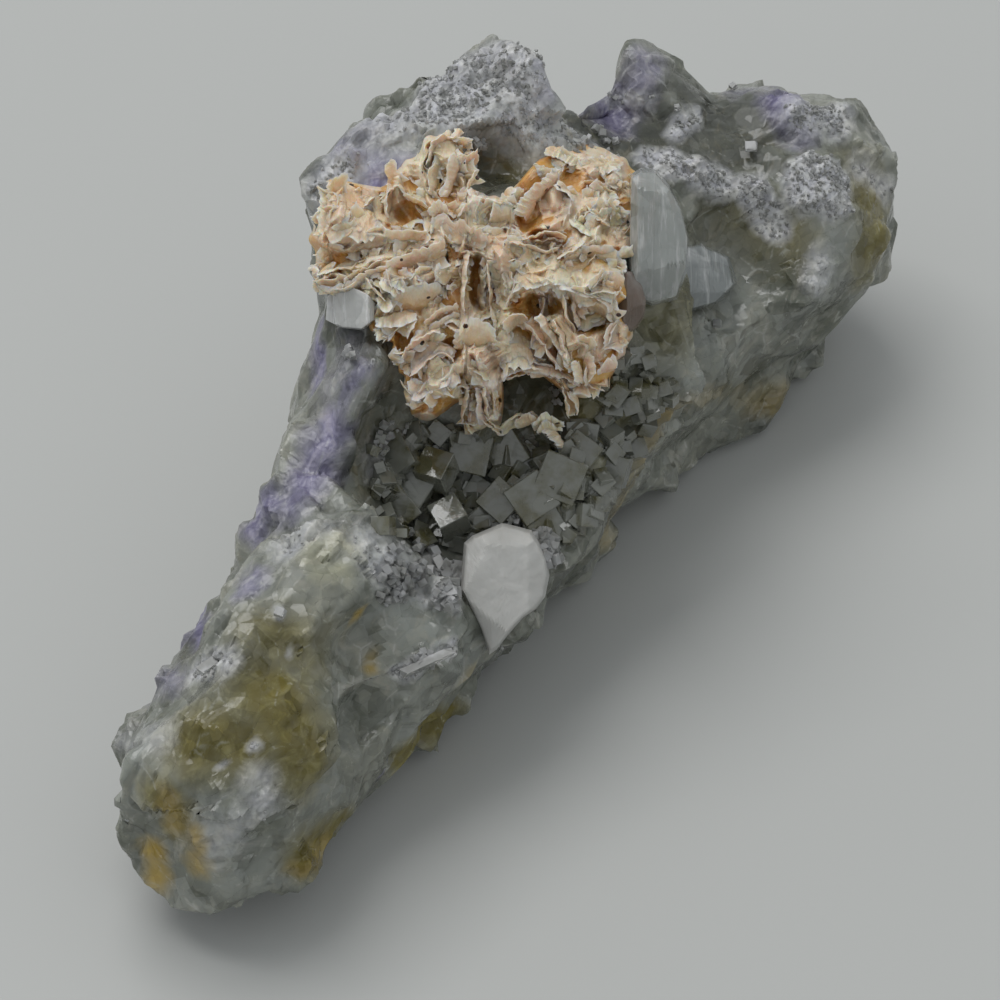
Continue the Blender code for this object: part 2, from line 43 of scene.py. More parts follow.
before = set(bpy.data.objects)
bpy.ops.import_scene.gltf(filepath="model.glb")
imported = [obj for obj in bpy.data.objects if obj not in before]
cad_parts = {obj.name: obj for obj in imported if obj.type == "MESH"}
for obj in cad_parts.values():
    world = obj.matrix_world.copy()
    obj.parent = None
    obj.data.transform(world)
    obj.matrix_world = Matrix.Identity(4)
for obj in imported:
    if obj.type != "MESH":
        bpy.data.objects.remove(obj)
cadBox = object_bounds()
mm = 0.001
print("frame loaded:", len(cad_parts), "nodes")


# Camera: the photograph looks 45 degrees down, 48 degrees round from the stone's long axis.
cameraLook = {
    "eye": (-0.19585, -0.17930, 0.27110),
    "right": (0.66913, -0.74314, 0.0),
    "up": (0.52548, 0.47315, 0.70711),
    "reach": 0.350,        # from the eye to the plane of the barite's face
    "pixel": 0.000098,     # what one of the 1000 pixels covers on that plane
    "sensor": 36.0,
}
eye = np.array(cameraLook["eye"])
rightward = np.array(cameraLook["right"])
upward = np.array(cameraLook["up"])
forward = np.cross(upward, rightward)


def sightLine(x, y):
    # forward * reach + right * pixels + up * pixels: the way from the eye to a photo place on the focus plane
    across = (np.asarray(x, float) - 500)[..., None] * cameraLook["pixel"]
    above = (500 - np.asarray(y, float))[..., None] * cameraLook["pixel"]
    return forward * cameraLook["reach"] + rightward * across + upward * above


def nodeTree(name):
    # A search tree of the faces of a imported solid
    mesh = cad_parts[name].data
    return BVHTree.FromPolygons([v.co[:] for v in mesh.vertices], [p.vertices[:] for p in mesh.polygons])


stoneTree = nodeTree("fluorite_stone")


def onStone(x, y, lift=0.0):
    # Where the sight line through a photo place meets the solid stone, moved towards the eye by lift mm
    line = sightLine(x, y)
    line = line / np.linalg.norm(line)
    hit = stoneTree.ray_cast(Vector(eye), Vector(line))[0]
    if hit is None:
        hit = stoneTree.find_nearest(Vector(eye + line * cameraLook["reach"]))[0]
    return np.array(hit) - line * lift * mm


def stoneFar(xs, ys):
    # How far along the view the stone lies at each photo place: (hit - eye) dot forward
    far = [(onStone(x, y) - eye) @ forward for x, y in zip(xs.ravel(), ys.ravel())]
    return np.array(far).reshape(xs.shape)


def scramble(whole, seed):
    # A hashed number from 0 to 1 for each lattice cell
    mixed = (whole[..., 0] * 73856093) ^ (whole[..., 1] * 19349663) ^ (whole[..., 2] * 83492791)
    mixed = (mixed ^ (seed * 40503 + 12345)) & 0x7FFFFFFF
    mixed = ((mixed ^ (mixed >> 13)) * 1274126177) & 0x7FFFFFFF
    mixed = ((mixed ^ (mixed >> 11)) * 60493) & 0x7FFFFFFF
    return ((mixed ^ (mixed >> 16)) & 0xFFFF) / 65535.0


def smoothNoise(points, seed=0):
    # Value noise from -1 to 1: hashed lattice corners blended with 3t^2 - 2t^3
    cell = np.floor(points).astype(np.int64)
    part = points - cell
    part = part * part * (3 - 2 * part)
    total = np.zeros(points.shape[:-1])
    for corner in np.ndindex(2, 2, 2):
        weight = np.prod(np.where(corner, part, 1 - part), axis=-1)
        total += weight * (scramble(cell + np.array(corner), seed) * 2 - 1)
    return total


def roughNoise(points, seed=0, octaves=3):
    # Octaves of smooth noise, each twice as fine and half as high
    total = np.zeros(points.shape[:-1])
    for octave in range(octaves):
        total += smoothNoise(points * 2.0**octave, seed + octave) * 0.5**octave
    return total / (2 - 0.5**(octaves - 1))


def grainNoise(points, seed=0):
    # One minus the distance to the nearest jittered lattice point: a heap of round grains
    cell = np.floor(points).astype(np.int64)
    nearest = np.full(points.shape[:-1], 9.0)
    for step in np.ndindex(3, 3, 3):
        near = cell + np.array(step) - 1
        jitter = np.stack([scramble(near, seed + k) for k in range(3)], -1)
        nearest = np.minimum(nearest, np.linalg.norm(near + jitter - points, axis=-1))
    return 1 - nearest


def curveThrough(values, at, closed=False):
    # Catmull-Rom curve through a list of points, at fractional indexes
    values = np.asarray(values, float)
    start = np.floor(at).astype(int)
    t = (at - start).reshape((-1,) + (1,) * (values.ndim - 1))

    def point(step):
        index = start + step
        return values[index % len(values) if closed else np.clip(index, 0, len(values) - 1)]

    a, b, c, d = point(-1), point(0), point(1), point(2)
    return b + 0.5 * t * (c - a + t * (2 * a - 5 * b + 4 * c - d + t * (3 * (b - c) + d - a)))


def unit(vectors):
    # Each vector over its length
    return vectors / np.maximum(np.linalg.norm(vectors, axis=-1, keepdims=True), 1e-12)


def steepStep(value, low, high):
    # 0 below low, 1 above high, 3t^2 - 2t^3 between
    t = np.clip((value - low) / (high - low), 0, 1)
    return t * t * (3 - 2 * t)


def closedRings(rings, first, last):
    # A closed body: quads between the rings and a fan to a point at each end, turned to a positive volume
    count, around = rings.shape[:2]
    column = np.arange(around)
    beside = (column + 1) % around
    lower = np.arange(count - 1)[:, None] * around
    quads = np.stack([lower + column, lower + beside, lower + around + beside, lower + around + column], -1)
    quads = quads.reshape(-1, 4)
    points = np.concatenate([rings.reshape(-1, 3), [first, last]])
    ends = np.full(around, len(points) - 2), np.full(around, len(points) - 1)
    top = np.stack([ends[0], beside, column], -1)
    bottom = np.stack([(count - 1) * around + column, (count - 1) * around + beside, ends[1]], -1)
    a, b, c, d = (points[quads[:, k]] - first for k in range(4))
    if (np.cross(a, b) * c + np.cross(a, c) * d).sum() < 0:
        quads, top, bottom = quads[:, [0, 3, 2, 1]], top[:, ::-1], bottom[:, ::-1]
    return points, quads.tolist() + top.tolist() + bottom.tolist()


def putPiece(name, points, faces, finish, marks=None, sharp=0):
    # Whole arrays of points, faces and per-point marks as an object at the origin, smooth up to an angle
    mesh = bpy.data.meshes.new(name)
    mesh.from_pydata(points.tolist(), [], faces.tolist() if hasattr(faces, "tolist") else faces)
    for key, values in (marks or {}).items():
        layer = mesh.attributes.new(key, "FLOAT", "POINT")
        layer.data.foreach_set("value", np.ascontiguousarray(values, np.float32).ravel())
    mesh.polygons.foreach_set("use_smooth", [sharp > 0] * len(mesh.polygons))
    mesh.materials.append(finish)
    mesh.validate()
    if sharp:
        mesh.set_sharp_from_angle(angle=math.radians(sharp))
    piece = bpy.data.objects.new(name, mesh)
    bpy.context.scene.collection.objects.link(piece)
    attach(piece, "root")
    print("piece", name, len(points), "points", len(mesh.polygons), "faces")
    return piece


class Wire:
    # A shader socket on which arithmetic adds Math nodes
    def __init__(self, tree, socket=None):
        self.tree, self.socket = tree, socket

    def node(self, kind, settings=None, values=None, output=0):
        # Any node: its settings are set first, then the values or links of its sockets
        made = self.tree.nodes.new(kind)
        for key, value in (settings or {}).items():
            setattr(made, key, value)
        for key, value in (values or {}).items():
            if isinstance(value, Wire):
                self.tree.links.new(value.socket, made.inputs[key])
            else:
                made.inputs[key].default_value = value
        return Wire(self.tree, made.outputs[output])

    def maths(self, operation, other, clamp=False):
        # One Math node: this value, the operation, the other value
        return self.node("ShaderNodeMath", {"operation": operation, "use_clamp": clamp}, {0: self, 1: other})

    def vectors(self, operation, first, second, output=0):
        # One Vector Math node
        return self.node("ShaderNodeVectorMath", {"operation": operation}, {0: first, 1: second}, output)

    def __add__(self, other):
        return self.maths("ADD", other)

    __radd__ = __add__

    def __mul__(self, other):
        return self.maths("MULTIPLY", other)

    __rmul__ = __mul__

    def __sub__(self, other):
        return self.maths("SUBTRACT", other)

    def __rsub__(self, other):
        return self.node("ShaderNodeMath", {"operation": "SUBTRACT"}, {0: other, 1: self})

    def step(self, low, high):
        # 0 below low, 1 above high, smooth between
        return self.node("ShaderNodeMapRange", {"interpolation_type": "SMOOTHSTEP"},
                         {"Value": self, "From Min": low, "From Max": high})

    def clamped(self):
        # Held between 0 and 1
        return self.maths("ADD", 0.0, clamp=True)

    def mark(self, name):
        # One of the piece's own per-point values
        return self.node("ShaderNodeAttribute", {"attribute_name": name}, output=2)

    def place(self):
        # Object coordinates
        return self.node("ShaderNodeTexCoord", output=3)

    def stretched(self, scale):
        # Places times a scale for each axis
        return self.node("ShaderNodeMapping", {}, {"Vector": self, "Scale": scale})

    def warped(self, where, scale, detail, reach):
        # Places pushed along by a coloured noise times a reach in metres
        return self.vectors("ADD", where, self.noise(where, scale, detail) * reach)

    def noise(self, where, scale, detail=3.0, rough=0.5, warp=0.0):
        # Noise from 0 to 1, in octaves
        return self.node("ShaderNodeTexNoise", {}, {"Vector": where, "Scale": scale, "Detail": detail,
                                                    "Roughness": rough, "Distortion": warp})

    def cells(self, where, scale, output=0, feature="F1"):
        # Voronoi cells: 0 is the distance, 1 a colour for each cell
        return self.node("ShaderNodeTexVoronoi", {"feature": feature}, {"Vector": where, "Scale": scale},
                         output)

    def facets(self, where, scale, tilt):
        # Height of randomly tilted flat facets: (random colour - 0.5) dot (place - cell centre) * tilt
        colour = self.cells(where, scale, 1)
        lean = self.vectors("SUBTRACT", colour, (0.5, 0.5, 0.5))
        away = self.vectors("SUBTRACT", where, Wire(self.tree, colour.socket.node.outputs[2]))
        return self.vectors("DOT_PRODUCT", lean, away, 1) * tilt

    def blend(self, share, first, second):
        # first * (1 - share) + second * share, for colours
        values = {0: share, 6: first, 7: second}
        values = {k: (*v, 1) if isinstance(v, tuple) else v for k, v in values.items()}
        return self.node("ShaderNodeMix", {"data_type": "RGBA"}, values, 2)

    def bump(self, height, strength, distance, under=None):
        # A normal tilted by the slope of a height, over another normal if one is given
        values = {"Height": height, "Strength": strength, "Distance": distance}
        if under:
            values["Normal"] = under
        return self.node("ShaderNodeBump", {}, values)


def newFinish(name, build, **fixed):
    # A Principled material: build returns what varies, fixed holds the sockets that are the same all over
    made = bpy.data.materials.new(name)
    made.use_nodes = True
    tree = made.node_tree
    shader = tree.nodes["Principled BSDF"]
    for key, value in fixed.items():
        if key != "absorb":
            shader.inputs[key.replace("_", " ")].default_value = value
    for key, value in build(Wire(tree)).items():
        socket = shader.inputs[key]
        if isinstance(value, Wire):
            tree.links.new(value.socket, socket)
        else:
            socket.default_value = (*value, 1) if isinstance(value, tuple) else value
    if "absorb" in fixed:
        colour, density = fixed["absorb"]
        volume = tree.nodes.new("ShaderNodeVolumeAbsorption")
        volume.inputs["Color"].default_value = (*colour, 1)
        volume.inputs["Density"].default_value = density
        tree.links.new(volume.outputs[0], tree.nodes["Material Output"].inputs["Volume"])
    return made


# The fluorite stone: the solid's own sections, swellings and breaks on a finer grid
stoneShape = {
    "shift": (0.523, -0.989, 0.132),
    "coarse": (150, 132),
    "fine": ((296, 330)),
    "breaks": [(400, 0.26, 1.2), (900, 0.30, 0.6)],
    "softened": 1,                   # how many times the breaks are blurred on the fine grid
    "sharpAngle": 26,                # degrees between faces from which an edge is sharp
    "poleRows": 14,                  # rows over which the small relief fades towards the two ends
    "sugarGrains": [(0.30, 0.9, 5, 0.45), (0.70, 2.4, 9, 0.5)],    # height and size in mm, seed, level
    "hidden": {        # sides out of sight: size in mm, seed, sign, low, high and strength of the noise
        "purple": (11, 3, 1, 0.12, 0.45, 0.8), "olive": (11, 3, -1, 0.15, 0.5, 0.9),
        "sugar": (7, 8, 1, 0.2, 0.5, 0.8), "veil": (10, 19, 1, 0.1, 0.4, 0.7),
        "darkAndShade": (9, 15, 1, 0.2, 0.5, 0.6),
    },
    "chips": (2600, 0.50, 0.42),     # further small facets: how many, lean, reach in mm
    "corners": 12,                   # in each section
    "denseAround": (0.2, 9.3, 1.7),  # corners between which the fine grid is denser, and how much
    "denseAlong": (3.2, 10.6, 1.5),  # sections between which it is denser
    "ends": ((-59, -9.5, 11), (59, 0, 18)),
    "sections": [
        (-57, [(-14, 4.5), (-17, 6.5), (-18, 10), (-17, 14), (-14, 17.5), (-11, 19),
               (-8.5, 19.5), (-6, 18.5), (-3.5, 16), (-2.5, 12.5), (-4, 8), (-8, 4.5)]),
        (-52, [(-14, 3.5), (-19, 6), (-20, 10.5), (-18.5, 16), (-15.5, 20.5), (-11.5, 23.5),
               (-8.5, 23.5), (-5, 21.5), (-1.8, 18), (-0.4, 13), (-0.8, 8), (-5, 4)]),
        (-44, [(-13, 1.5), (-20, 5), (-21, 10.5), (-19.5, 17), (-16.5, 22.5), (-12, 26.5),
               (-8, 27), (-4, 25), (-0.8, 21), (1.6, 15), (2, 7), (-2, 1)]),
        (-34, [(-13, 0), (-18, 5), (-19.5, 11), (-18.5, 17), (-16, 22.5), (-12.5, 27),
               (-8, 28.5), (-3, 27.5), (1, 23.5), (4.2, 16.5), (5, 7), (2, 0)]),
        (-25, [(-12.5, 0), (-18, 7.5), (-19.5, 12.5), (-18, 17.5), (-14.5, 21), (-10, 24),
               (-5, 26.5), (0.5, 28.5), (4.5, 26.5), (7.8, 19.5), (9, 8), (6, 0)]),
        (-16, [(-12, 0), (-18.5, 11), (-19.5, 15), (-16.5, 18.5), (-12, 21.5), (-7, 25),
               (-1.5, 29.5), (4, 33.8), (9, 34), (12, 27), (13, 11), (9, 0)]),
        (-8, [(-10.5, 0), (-17, 11), (-18, 16), (-14.5, 21.5), (-10.5, 26.5), (-5.5, 31.5),
              (1, 36), (8.5, 40.6), (15.5, 41.6), (19.6, 34.5), (19, 14), (14, 0)]),
        (0, [(-9.5, 0), (-14.7, 9.2), (-16.2, 17), (-14, 25), (-10.5, 31.5), (-5, 36.5),
             (2, 41), (10.5, 45.2), (18.8, 46), (23.8, 38), (23, 16), (17, 0)]),
        (8, [(-8.8, 0), (-12.6, 7.2), (-14.6, 16), (-14, 25.5), (-12, 33), (-7, 38.5),
             (0, 43), (9, 47.4), (17, 48.2), (23.2, 40.5), (23.4, 17), (17.5, 0)]),
        (16, [(-8.2, 0), (-11, 6.2), (-13, 14), (-12.5, 23), (-10, 31), (-5, 37),
              (2, 42.5), (9.5, 48), (15.5, 50.6), (21, 42), (22.5, 18), (17.5, 0)]),
        (23, [(-8, 0), (-10.5, 5.2), (-12.6, 12), (-12, 20), (-8.5, 26), (-3.5, 31),
              (2, 35), (8, 38), (13, 39), (18, 31), (20.5, 16), (16.5, 0)]),
        (34, [(-8, 0), (-10.5, 5), (-13, 11.7), (-13, 19), (-9.5, 25), (-4, 29),
              (1.5, 32), (7.5, 35.4), (13, 36.5), (17.5, 28.5), (19, 14), (15, 0)]),
        (44, [(-7.8, 0.5), (-11, 6.4), (-13.6, 12.7), (-13.5, 19), (-10.5, 25), (-5.5, 29),
              (0, 31), (5, 31.2), (9, 29.5), (13.5, 24), (15.5, 13), (12, 0.5)]),
        (52, [(-6, 5.5), (-10, 9.2), (-12, 14), (-11.5, 19.5), (-9, 24.5), (-5, 28),
              (-0.5, 29.5), (4, 28.8), (8, 26.5), (11, 21), (12, 13), (8, 5)]),
        (57, [(-3, 11), (-6.5, 13), (-8.5, 16), (-8.5, 19.5), (-7, 22.5), (-4, 24.5),
              (-1, 25.5), (3, 25), (6, 23), (7.5, 19), (7, 14), (3, 11)]),
    ],
    "swellings": [
        (13.5, 14, 50, 6, 1.4), (17, 7.6, 46, 5, 2.2), (5, 23, 45, 5, -0.7), (-4, 20.4, 42, 5, -0.3),
        (41, 11.5, 34.5, 7, 3), (50, 0.3, 31.3, 5, 1.2), (54, -5.8, 27, 6, 0.6),
        (43.7, -8.6, 27, 5.5, 2.4), (37.3, -6.1, 28.3, 3.5, 1.8), (38.5, -12.4, 21.4, 7, 1.8),
        (32.3, -0.5, 31.7, 4.5, 1.6), (-30.6, -8.5, 27.5, 9, 1.8), (-24.9, -10.9, 23.4, 5, 1.6),
        (-48.5, -17, 19.5, 10, 1.6), (-57, -7, 13, 6, 1), (-27.6, -17.3, 18.8, 8.5, 2.4),
        (-14.7, 2.4, 33, 7, 2.4), (-26.7, 0.5, 28, 7, 1), (10.5, -13.8, 23.6, 7, 2.8),
        (2.4, -12.6, 29.2, 5, 1.6), (-13, -9.5, 24.5, 12.5, -6), (-4, -12, 27, 8, -3),
        (6.8, 4.6, 45.2, 5, -3.6), (29.9, -8.2, 25.9, 9, -3.4), (42.5, 5, 34.5, 7, -2),
        (-34.7, -15.6, 23.3, 5, -2.4), (-37.5, -19, 16.5, 4.5, -2), (-3.2, -10.4, 29.7, 4.5, -2.6),
        (20, 16, 20, 9, 1.5), (-6, 20, 24, 10, -1.5), (36, 18, 22, 8, 0.6), (-20, 12, 16, 8, -2),
        (10, 22.5, 30, 8, -2), (12.6, 18.5, 49, 6.5, -3), (18.5, 13.8, 49.8, 5, 2.1),
        (29, 15.5, 35, 6, -3.2), (-12.5, 15, 31, 7, -1.8), (20.2, 10, 47, 7, -2.2),
        (33.1, 16.7, 32, 7, -3), (3.7, 24.3, 42.8, 7, -1.9), (52.9, 2.2, 30.3, 7, -1.3),
        (14.8, 15.8, 51.7, 7, -2.7), (-60, -10, 5.3, 7, 0.4), (-4.4, 23.3, 35.1, 7, -1.7),
        (16, 22.2, 43.2, 7, -2.4), (9.9, -11.7, 0.7, 7, -2.5), (-14.9, -15.5, 1.6, 7, -0.8),
        (-9.5, 17.5, 25.1, 7, -1.6), (-8.1, -17, 8.9, 7, -0.7), (56.9, -5.2, 27.4, 7, -0.7),
        (-58.5, -3.6, 14.4, 7, -2.1), (-25, 4.7, 28.6, 7, 0.7), (4.1, 20.7, 48.4, 7, -2.7),
        (-43, -21.9, 5.8, 7, -1.5), (-10.7, 17.4, 36.1, 7, -1.8), (56.4, 4.7, 26.6, 7, -1.4),
        (-4.4, -14.5, 3.5, 7, -0.7), (27.7, 11.3, 37.2, 7, -2.3), (-54.3, -2.4, 20.8, 7, -1.7),
        (-4.2, 23.1, 42.4, 7, -2.3), (38.6, 10.2, 35, 7, 0.8), (-20.9, 8.1, 31.2, 7, -0.7),
        (-8.6, 20.9, 32, 7, -1.3), (-16.8, 10, 34.8, 7, -1), (54.5, -13.3, 19, 7, -0.9),
        (47.2, -12.7, 7.6, 7, -0.7), (-30.5, 3.5, 24, 7, 1), (-6.6, 20.5, 38.2, 6, -0.9),
        (57.2, -10.3, 16.1, 6, -0.8), (-46.2, 0.5, 20.4, 6, -0.8), (-49.8, -21.1, 7.2, 6, 1.8),
        (42.6, 8.5, 31.1, 6, 1.3), (-59.9, -5.2, 8.2, 6, -0.9), (-19.7, -18.9, 9, 6, -1.2),
    ],
}


def gridSlopes(grid):
    # Step along cross step around: as long as a cell's area, and pointing outwards
    along = np.gradient(grid, axis=0)
    around = np.roll(grid, -1, axis=1) - np.roll(grid, 1, axis=1)
    return np.cross(along, around)


def gridNormals(grid):
    # Unit slopes, with the two ends facing along the stone
    normals = unit(gridSlopes(grid))
    normals[0] = (-1, 0, 0)
    normals[-1] = (1, 0, 0)
    return normals


def denseSteps(count, span, crowded):
    # count places from 0 to span, closer together by the third number between the first two
    low, high, factor = crowded
    fine = np.linspace(0, span, 4000)
    soft = 0.6
    inside = steepStep(fine, low - soft, low + soft) * (1 - steepStep(fine, high - soft, high + soft))
    density = 1 + (factor - 1) * inside
    total = np.concatenate([[0], np.cumsum((density[1:] + density[:-1]) / 2)])
    return np.interp(np.linspace(0, total[-1], count), total, fine)


def loft(alongSteps, aroundSteps):
    # Catmull-Rom through the sections, then each swelling's height * (1 - (distance / radius)^2)^2 outwards
    rings = [[(x, y, z) for y, z in ring] for x, ring in stoneShape["sections"]]
    low, high = stoneShape["ends"]
    rings = [[low] * stoneShape["corners"]] + rings + [[high] * stoneShape["corners"]]
    along = curveThrough(rings, alongSteps)
    grid = curveThrough(along.swapaxes(0, 1), aroundSteps, closed=True).swapaxes(0, 1) * mm
    normals = gridNormals(grid)
    lift = np.zeros(grid.shape[:2])
    for x, y, z, radius, height in stoneShape["swellings"]:
        distance = np.linalg.norm(grid - np.array((x, y, z)) * mm, axis=-1) / (radius * mm)
        lift += height * mm * np.clip(1 - distance**2, 0, None) ** 2
    return grid + normals * lift[..., None]


def facetLift(grid, outward, seats, facing, reach, count=4):
    # How far each point is from the lowest of its nearest tilted planes, along its outward direction
    points, outward = grid.reshape(-1, 3), outward.reshape(-1, 3)
    lift = np.zeros(len(points))
    for start in range(0, len(points), 8000):
        some, facingOut = points[start:start + 8000], outward[start:start + 8000]
        away = (seats**2).sum(1)[None] - 2 * some @ seats.T
        nearest = np.argpartition(away, count, axis=1)[:, :count]
        rise = ((seats[nearest] - some[:, None]) * facing[nearest]).sum(-1)
        slope = np.maximum((facingOut[:, None] * facing[nearest]).sum(-1), 0.4)
        lift[start:start + 8000] = np.clip((rise / slope).min(1), -reach, reach)
    return lift.reshape(grid.shape[:2])


def makeStoneGrid():
    # The loft with each point lowered or raised to the flat breaks, whose planes are drawn on the coarse grid
    rows, columns = stoneShape["coarse"]
    last = len(stoneShape["sections"]) + 1
    corners = stoneShape["corners"]
    coarse = loft(np.linspace(0, last, rows), np.arange(columns) * corners / columns)
    rows, columns = stoneShape["fine"]
    aroundSteps = denseSteps(columns + 1, corners, stoneShape["denseAround"])[:-1]
    fine = loft(denseSteps(rows, last, stoneShape["denseAlong"]), aroundSteps)
    draw = np.random.RandomState(11)
    smoothOut = gridNormals(fine)
    for count, lean, reach in stoneShape["breaks"]:
        share = np.linalg.norm(gridSlopes(coarse), axis=-1).ravel()
        chosen = draw.choice(share.size, count, replace=False, p=share / share.sum())
        seats = coarse.reshape(-1, 3)[chosen]
        facing = unit(gridNormals(coarse).reshape(-1, 3)[chosen] + lean * (draw.rand(count, 3) * 2 - 1))
        outward = gridNormals(coarse)
        lift = facetLift(coarse, outward, seats, facing, reach * mm)
        mean = np.average(lift.ravel(), weights=share)
        coarse = coarse + outward * (lift - mean)[..., None]
        lift = facetLift(fine, smoothOut, seats, facing, reach * mm) - mean
        for again in range(stoneShape["softened"]):
            lift = (np.roll(lift, 1, 1) + 2 * lift + np.roll(lift, -1, 1)) / 4
            lift[1:-1] = (lift[:-2] + 2 * lift[1:-1] + lift[2:]) / 4
        fine = fine + smoothOut * lift[..., None]
    return fine, smoothOut


stoneGrid, stoneOut = makeStoneGrid()
print("stone grid", stoneGrid.shape)

# Zones of colour and texture on the stone: streaks between two photo places, then radius in mm and strength
zones = {
    "purple": [
        (312, 335, 312, 380, 2.2, 1.0), (360, 370, 340, 415, 1.6, 0.7), (330, 428, 305, 482, 3.0, 0.9),
        (325, 470, 285, 505, 3.0, 0.8), (267, 500, 250, 528, 2.6, 0.9), (345, 350, 330, 400, 5.0, 0.35),
        (250, 573, 245, 585, 2.2, 0.7), (197, 610, 197, 630, 2.0, 0.9), (157, 640, 183, 620, 4.0, 0.6),
        (150, 690, 170, 680, 2.4, 0.6), (357, 153, 375, 203, 2.6, 1.0), (400, 165, 413, 182, 2.2, 0.9),
        (333, 148, 343, 146, 2.0, 0.8), (325, 172, 345, 185, 2.6, 0.4), (545, 85, 530, 70, 2.6, 0.8),
        (440, 75, 480, 55, 4.0, 0.45), (600, 100, 612, 112, 4.0, 0.8), (650, 58, 640, 75, 3.5, 0.6),
        (785, 90, 800, 120, 3.4, 1.0), (770, 84, 740, 90, 3.0, 0.4), (620, 95, 640, 85, 3.5, 0.6),
        (385, 110, 360, 130, 3.5, 0.5), (372, 165, 398, 192, 3.0, 0.8), (490, 55, 530, 80, 3.0, 0.5),
        (440, 100, 455, 130, 2.0, 0.3),
    ],
    "olive": [
        (190, 740, 257, 740, 4.5, 0.9), (270, 690, 310, 760, 5.0, 1.0), (297, 650, 270, 640, 4.0, 0.7),
        (415, 760, 445, 720, 3.0, 1.3), (310, 860, 340, 830, 3.0, 1.0), (870, 190, 880, 250, 5.0, 0.9),
        (740, 215, 790, 250, 4.0, 0.6), (570, 405, 625, 415, 3.5, 0.8), (600, 440, 570, 500, 4.0, 0.5),
        (375, 450, 400, 480, 4.0, 0.6), (160, 800, 180, 825, 3.0, 0.8), (495, 165, 530, 175, 3.0, 0.6),
        (640, 350, 690, 300, 5.0, 0.5), (520, 395, 550, 400, 3.0, 0.6),
    ],
    "sugar": [
        (400, 110, 480, 60, 5.0, 0.8), (520, 120, 590, 150, 4.5, 0.9), (320, 190, 345, 165, 3.5, 0.8),
        (290, 540, 400, 560, 3.6, 0.7), (193, 672, 227, 657, 1.8, 0.9), (120, 740, 160, 738, 2.4, 0.5),
        (262, 783, 270, 817, 2.4, 0.6), (205, 840, 240, 830, 3.6, 0.5), (400, 675, 453, 650, 1.3, 1.2),
        (436, 596, 458, 596, 1.4, 1.0), (280, 612, 280, 612, 1.0, 1.0), (250, 747, 250, 747, 0.9, 0.9),
        (223, 767, 223, 767, 0.8, 0.8), (342, 728, 342, 728, 1.0, 0.8), (287, 647, 287, 647, 1.0, 0.6),
        (376, 560, 420, 580, 3.0, 0.8), (812, 195, 806, 172, 2.4, 1.6), (815, 162, 838, 165, 2.4, 1.6),
        (842, 178, 835, 200, 2.4, 1.6), (655, 160, 720, 182, 2.2, 1.6), (755, 188, 772, 220, 2.2, 1.5),
        (672, 130, 698, 115, 1.5, 1.0), (613, 98, 650, 100, 1.0, 0.9), (800, 112, 837, 118, 2.8, 1.1),
        (862, 168, 885, 188, 2.4, 0.7), (823, 262, 822, 285, 2.4, 0.7), (560, 130, 600, 160, 2.0, 0.7),
        (430, 110, 520, 70, 5.0, 1.0),
        (350, 350, 351, 350, 0.9, 1.3), (395, 440, 375, 470, 2.0, 0.5), (350, 520, 270, 515, 2.2, 0.3),
        (440, 560, 455, 600, 1.8, 0.7), (330, 130, 430, 130, 4.0, 0.5), (500, 45, 540, 70, 3.0, 0.4),
    ],
    "veil": [
        (400, 600, 460, 650, 5.0, 1.0), (420, 690, 400, 740, 3.0, 0.8), (690, 380, 740, 330, 4.0, 0.8),
        (200, 830, 240, 870, 5.0, 0.9), (150, 760, 120, 800, 4.0, 0.8), (310, 700, 330, 780, 3.0, 0.4),
        (840, 240, 830, 290, 4.0, 0.7), (380, 350, 340, 400, 3.5, 0.4), (560, 500, 620, 430, 3.0, 0.4),
        (700, 275, 730, 290, 4.0, 0.8), (240, 570, 200, 650, 3.0, 0.3),
    ],
    "lemon": [(312, 552, 345, 545, 2.2, 0.7), (320, 572, 342, 572, 1.6, 0.6), (570, 150, 600, 165, 2.4, 0.4)],
    "ochre": [
        (193, 835, 197, 872, 1.5, 0.8), (165, 795, 172, 825, 1.5, 0.6), (147, 852, 155, 878, 1.8, 1.0),
        (364, 612, 372, 665, 0.9, 0.9), (300, 870, 330, 850, 1.6, 0.5), (610, 540, 700, 470, 2.4, 0.35),
        (700, 470, 780, 405, 2.6, 0.45), (455, 745, 480, 690, 1.4, 0.4),
    ],
    # The dark zone is part dark glassy and olive stone, part painted shade in hollows, beneath the barite
    # cluster and along the lower edge beside the floor
    "darkAndShade": [
        (375, 440, 400, 510, 4.5, 0.9), (480, 150, 500, 185, 3.0, 1.0), (720, 230, 800, 270, 4.0, 0.5),
        (300, 200, 303, 330, 2.2, 0.7), (590, 125, 640, 125, 5.0, 1.4), (650, 140, 740, 140, 5.0, 1.1),
        (500, 400, 560, 395, 3.0, 0.9), (410, 335, 408, 350, 1.6, 1.0), (380, 360, 375, 440, 3.5, 0.5),
        (150, 600, 190, 650, 3.5, 0.6), (450, 470, 530, 510, 5.0, 0.6), (620, 350, 660, 420, 5.0, 0.6),
        (560, 590, 790, 395, 2.4, 0.5), (700, 100, 760, 110, 4.5, 1.1), (640, 200, 700, 150, 3.0, 0.3),
    ],
}


def zoneMask(points, spots, seed):
    # The strongest of the streaks: strength * (1 - distance / radius), with the distance shaken by noise
    shaken = points + 1.1 * mm * np.stack([roughNoise(points / (2.6 * mm), seed + k) for k in range(3)], -1)
    mask = np.zeros(points.shape[:-1])
    for x0, y0, x1, y1, radius, strength in spots:
        start, end = onStone(x0, y0), onStone(x1, y1)
        line = end - start
        t = np.clip(((shaken - start) @ line) / max(line @ line, 1e-12), 0, 1)
        distance = np.linalg.norm(shaken - start - t[..., None] * line, axis=-1) / (radius * mm)
        mask = np.maximum(mask, strength * np.clip(1.25 - distance, 0, 1))
    return np.clip(mask, 0, 1.2)


def hiddenShare(points):
    # 1 on the sides that the photograph doesn't show, 0 on those that it shows
    normals = gridNormals(points)
    return steepStep(normals @ forward, 0.2, 0.6)


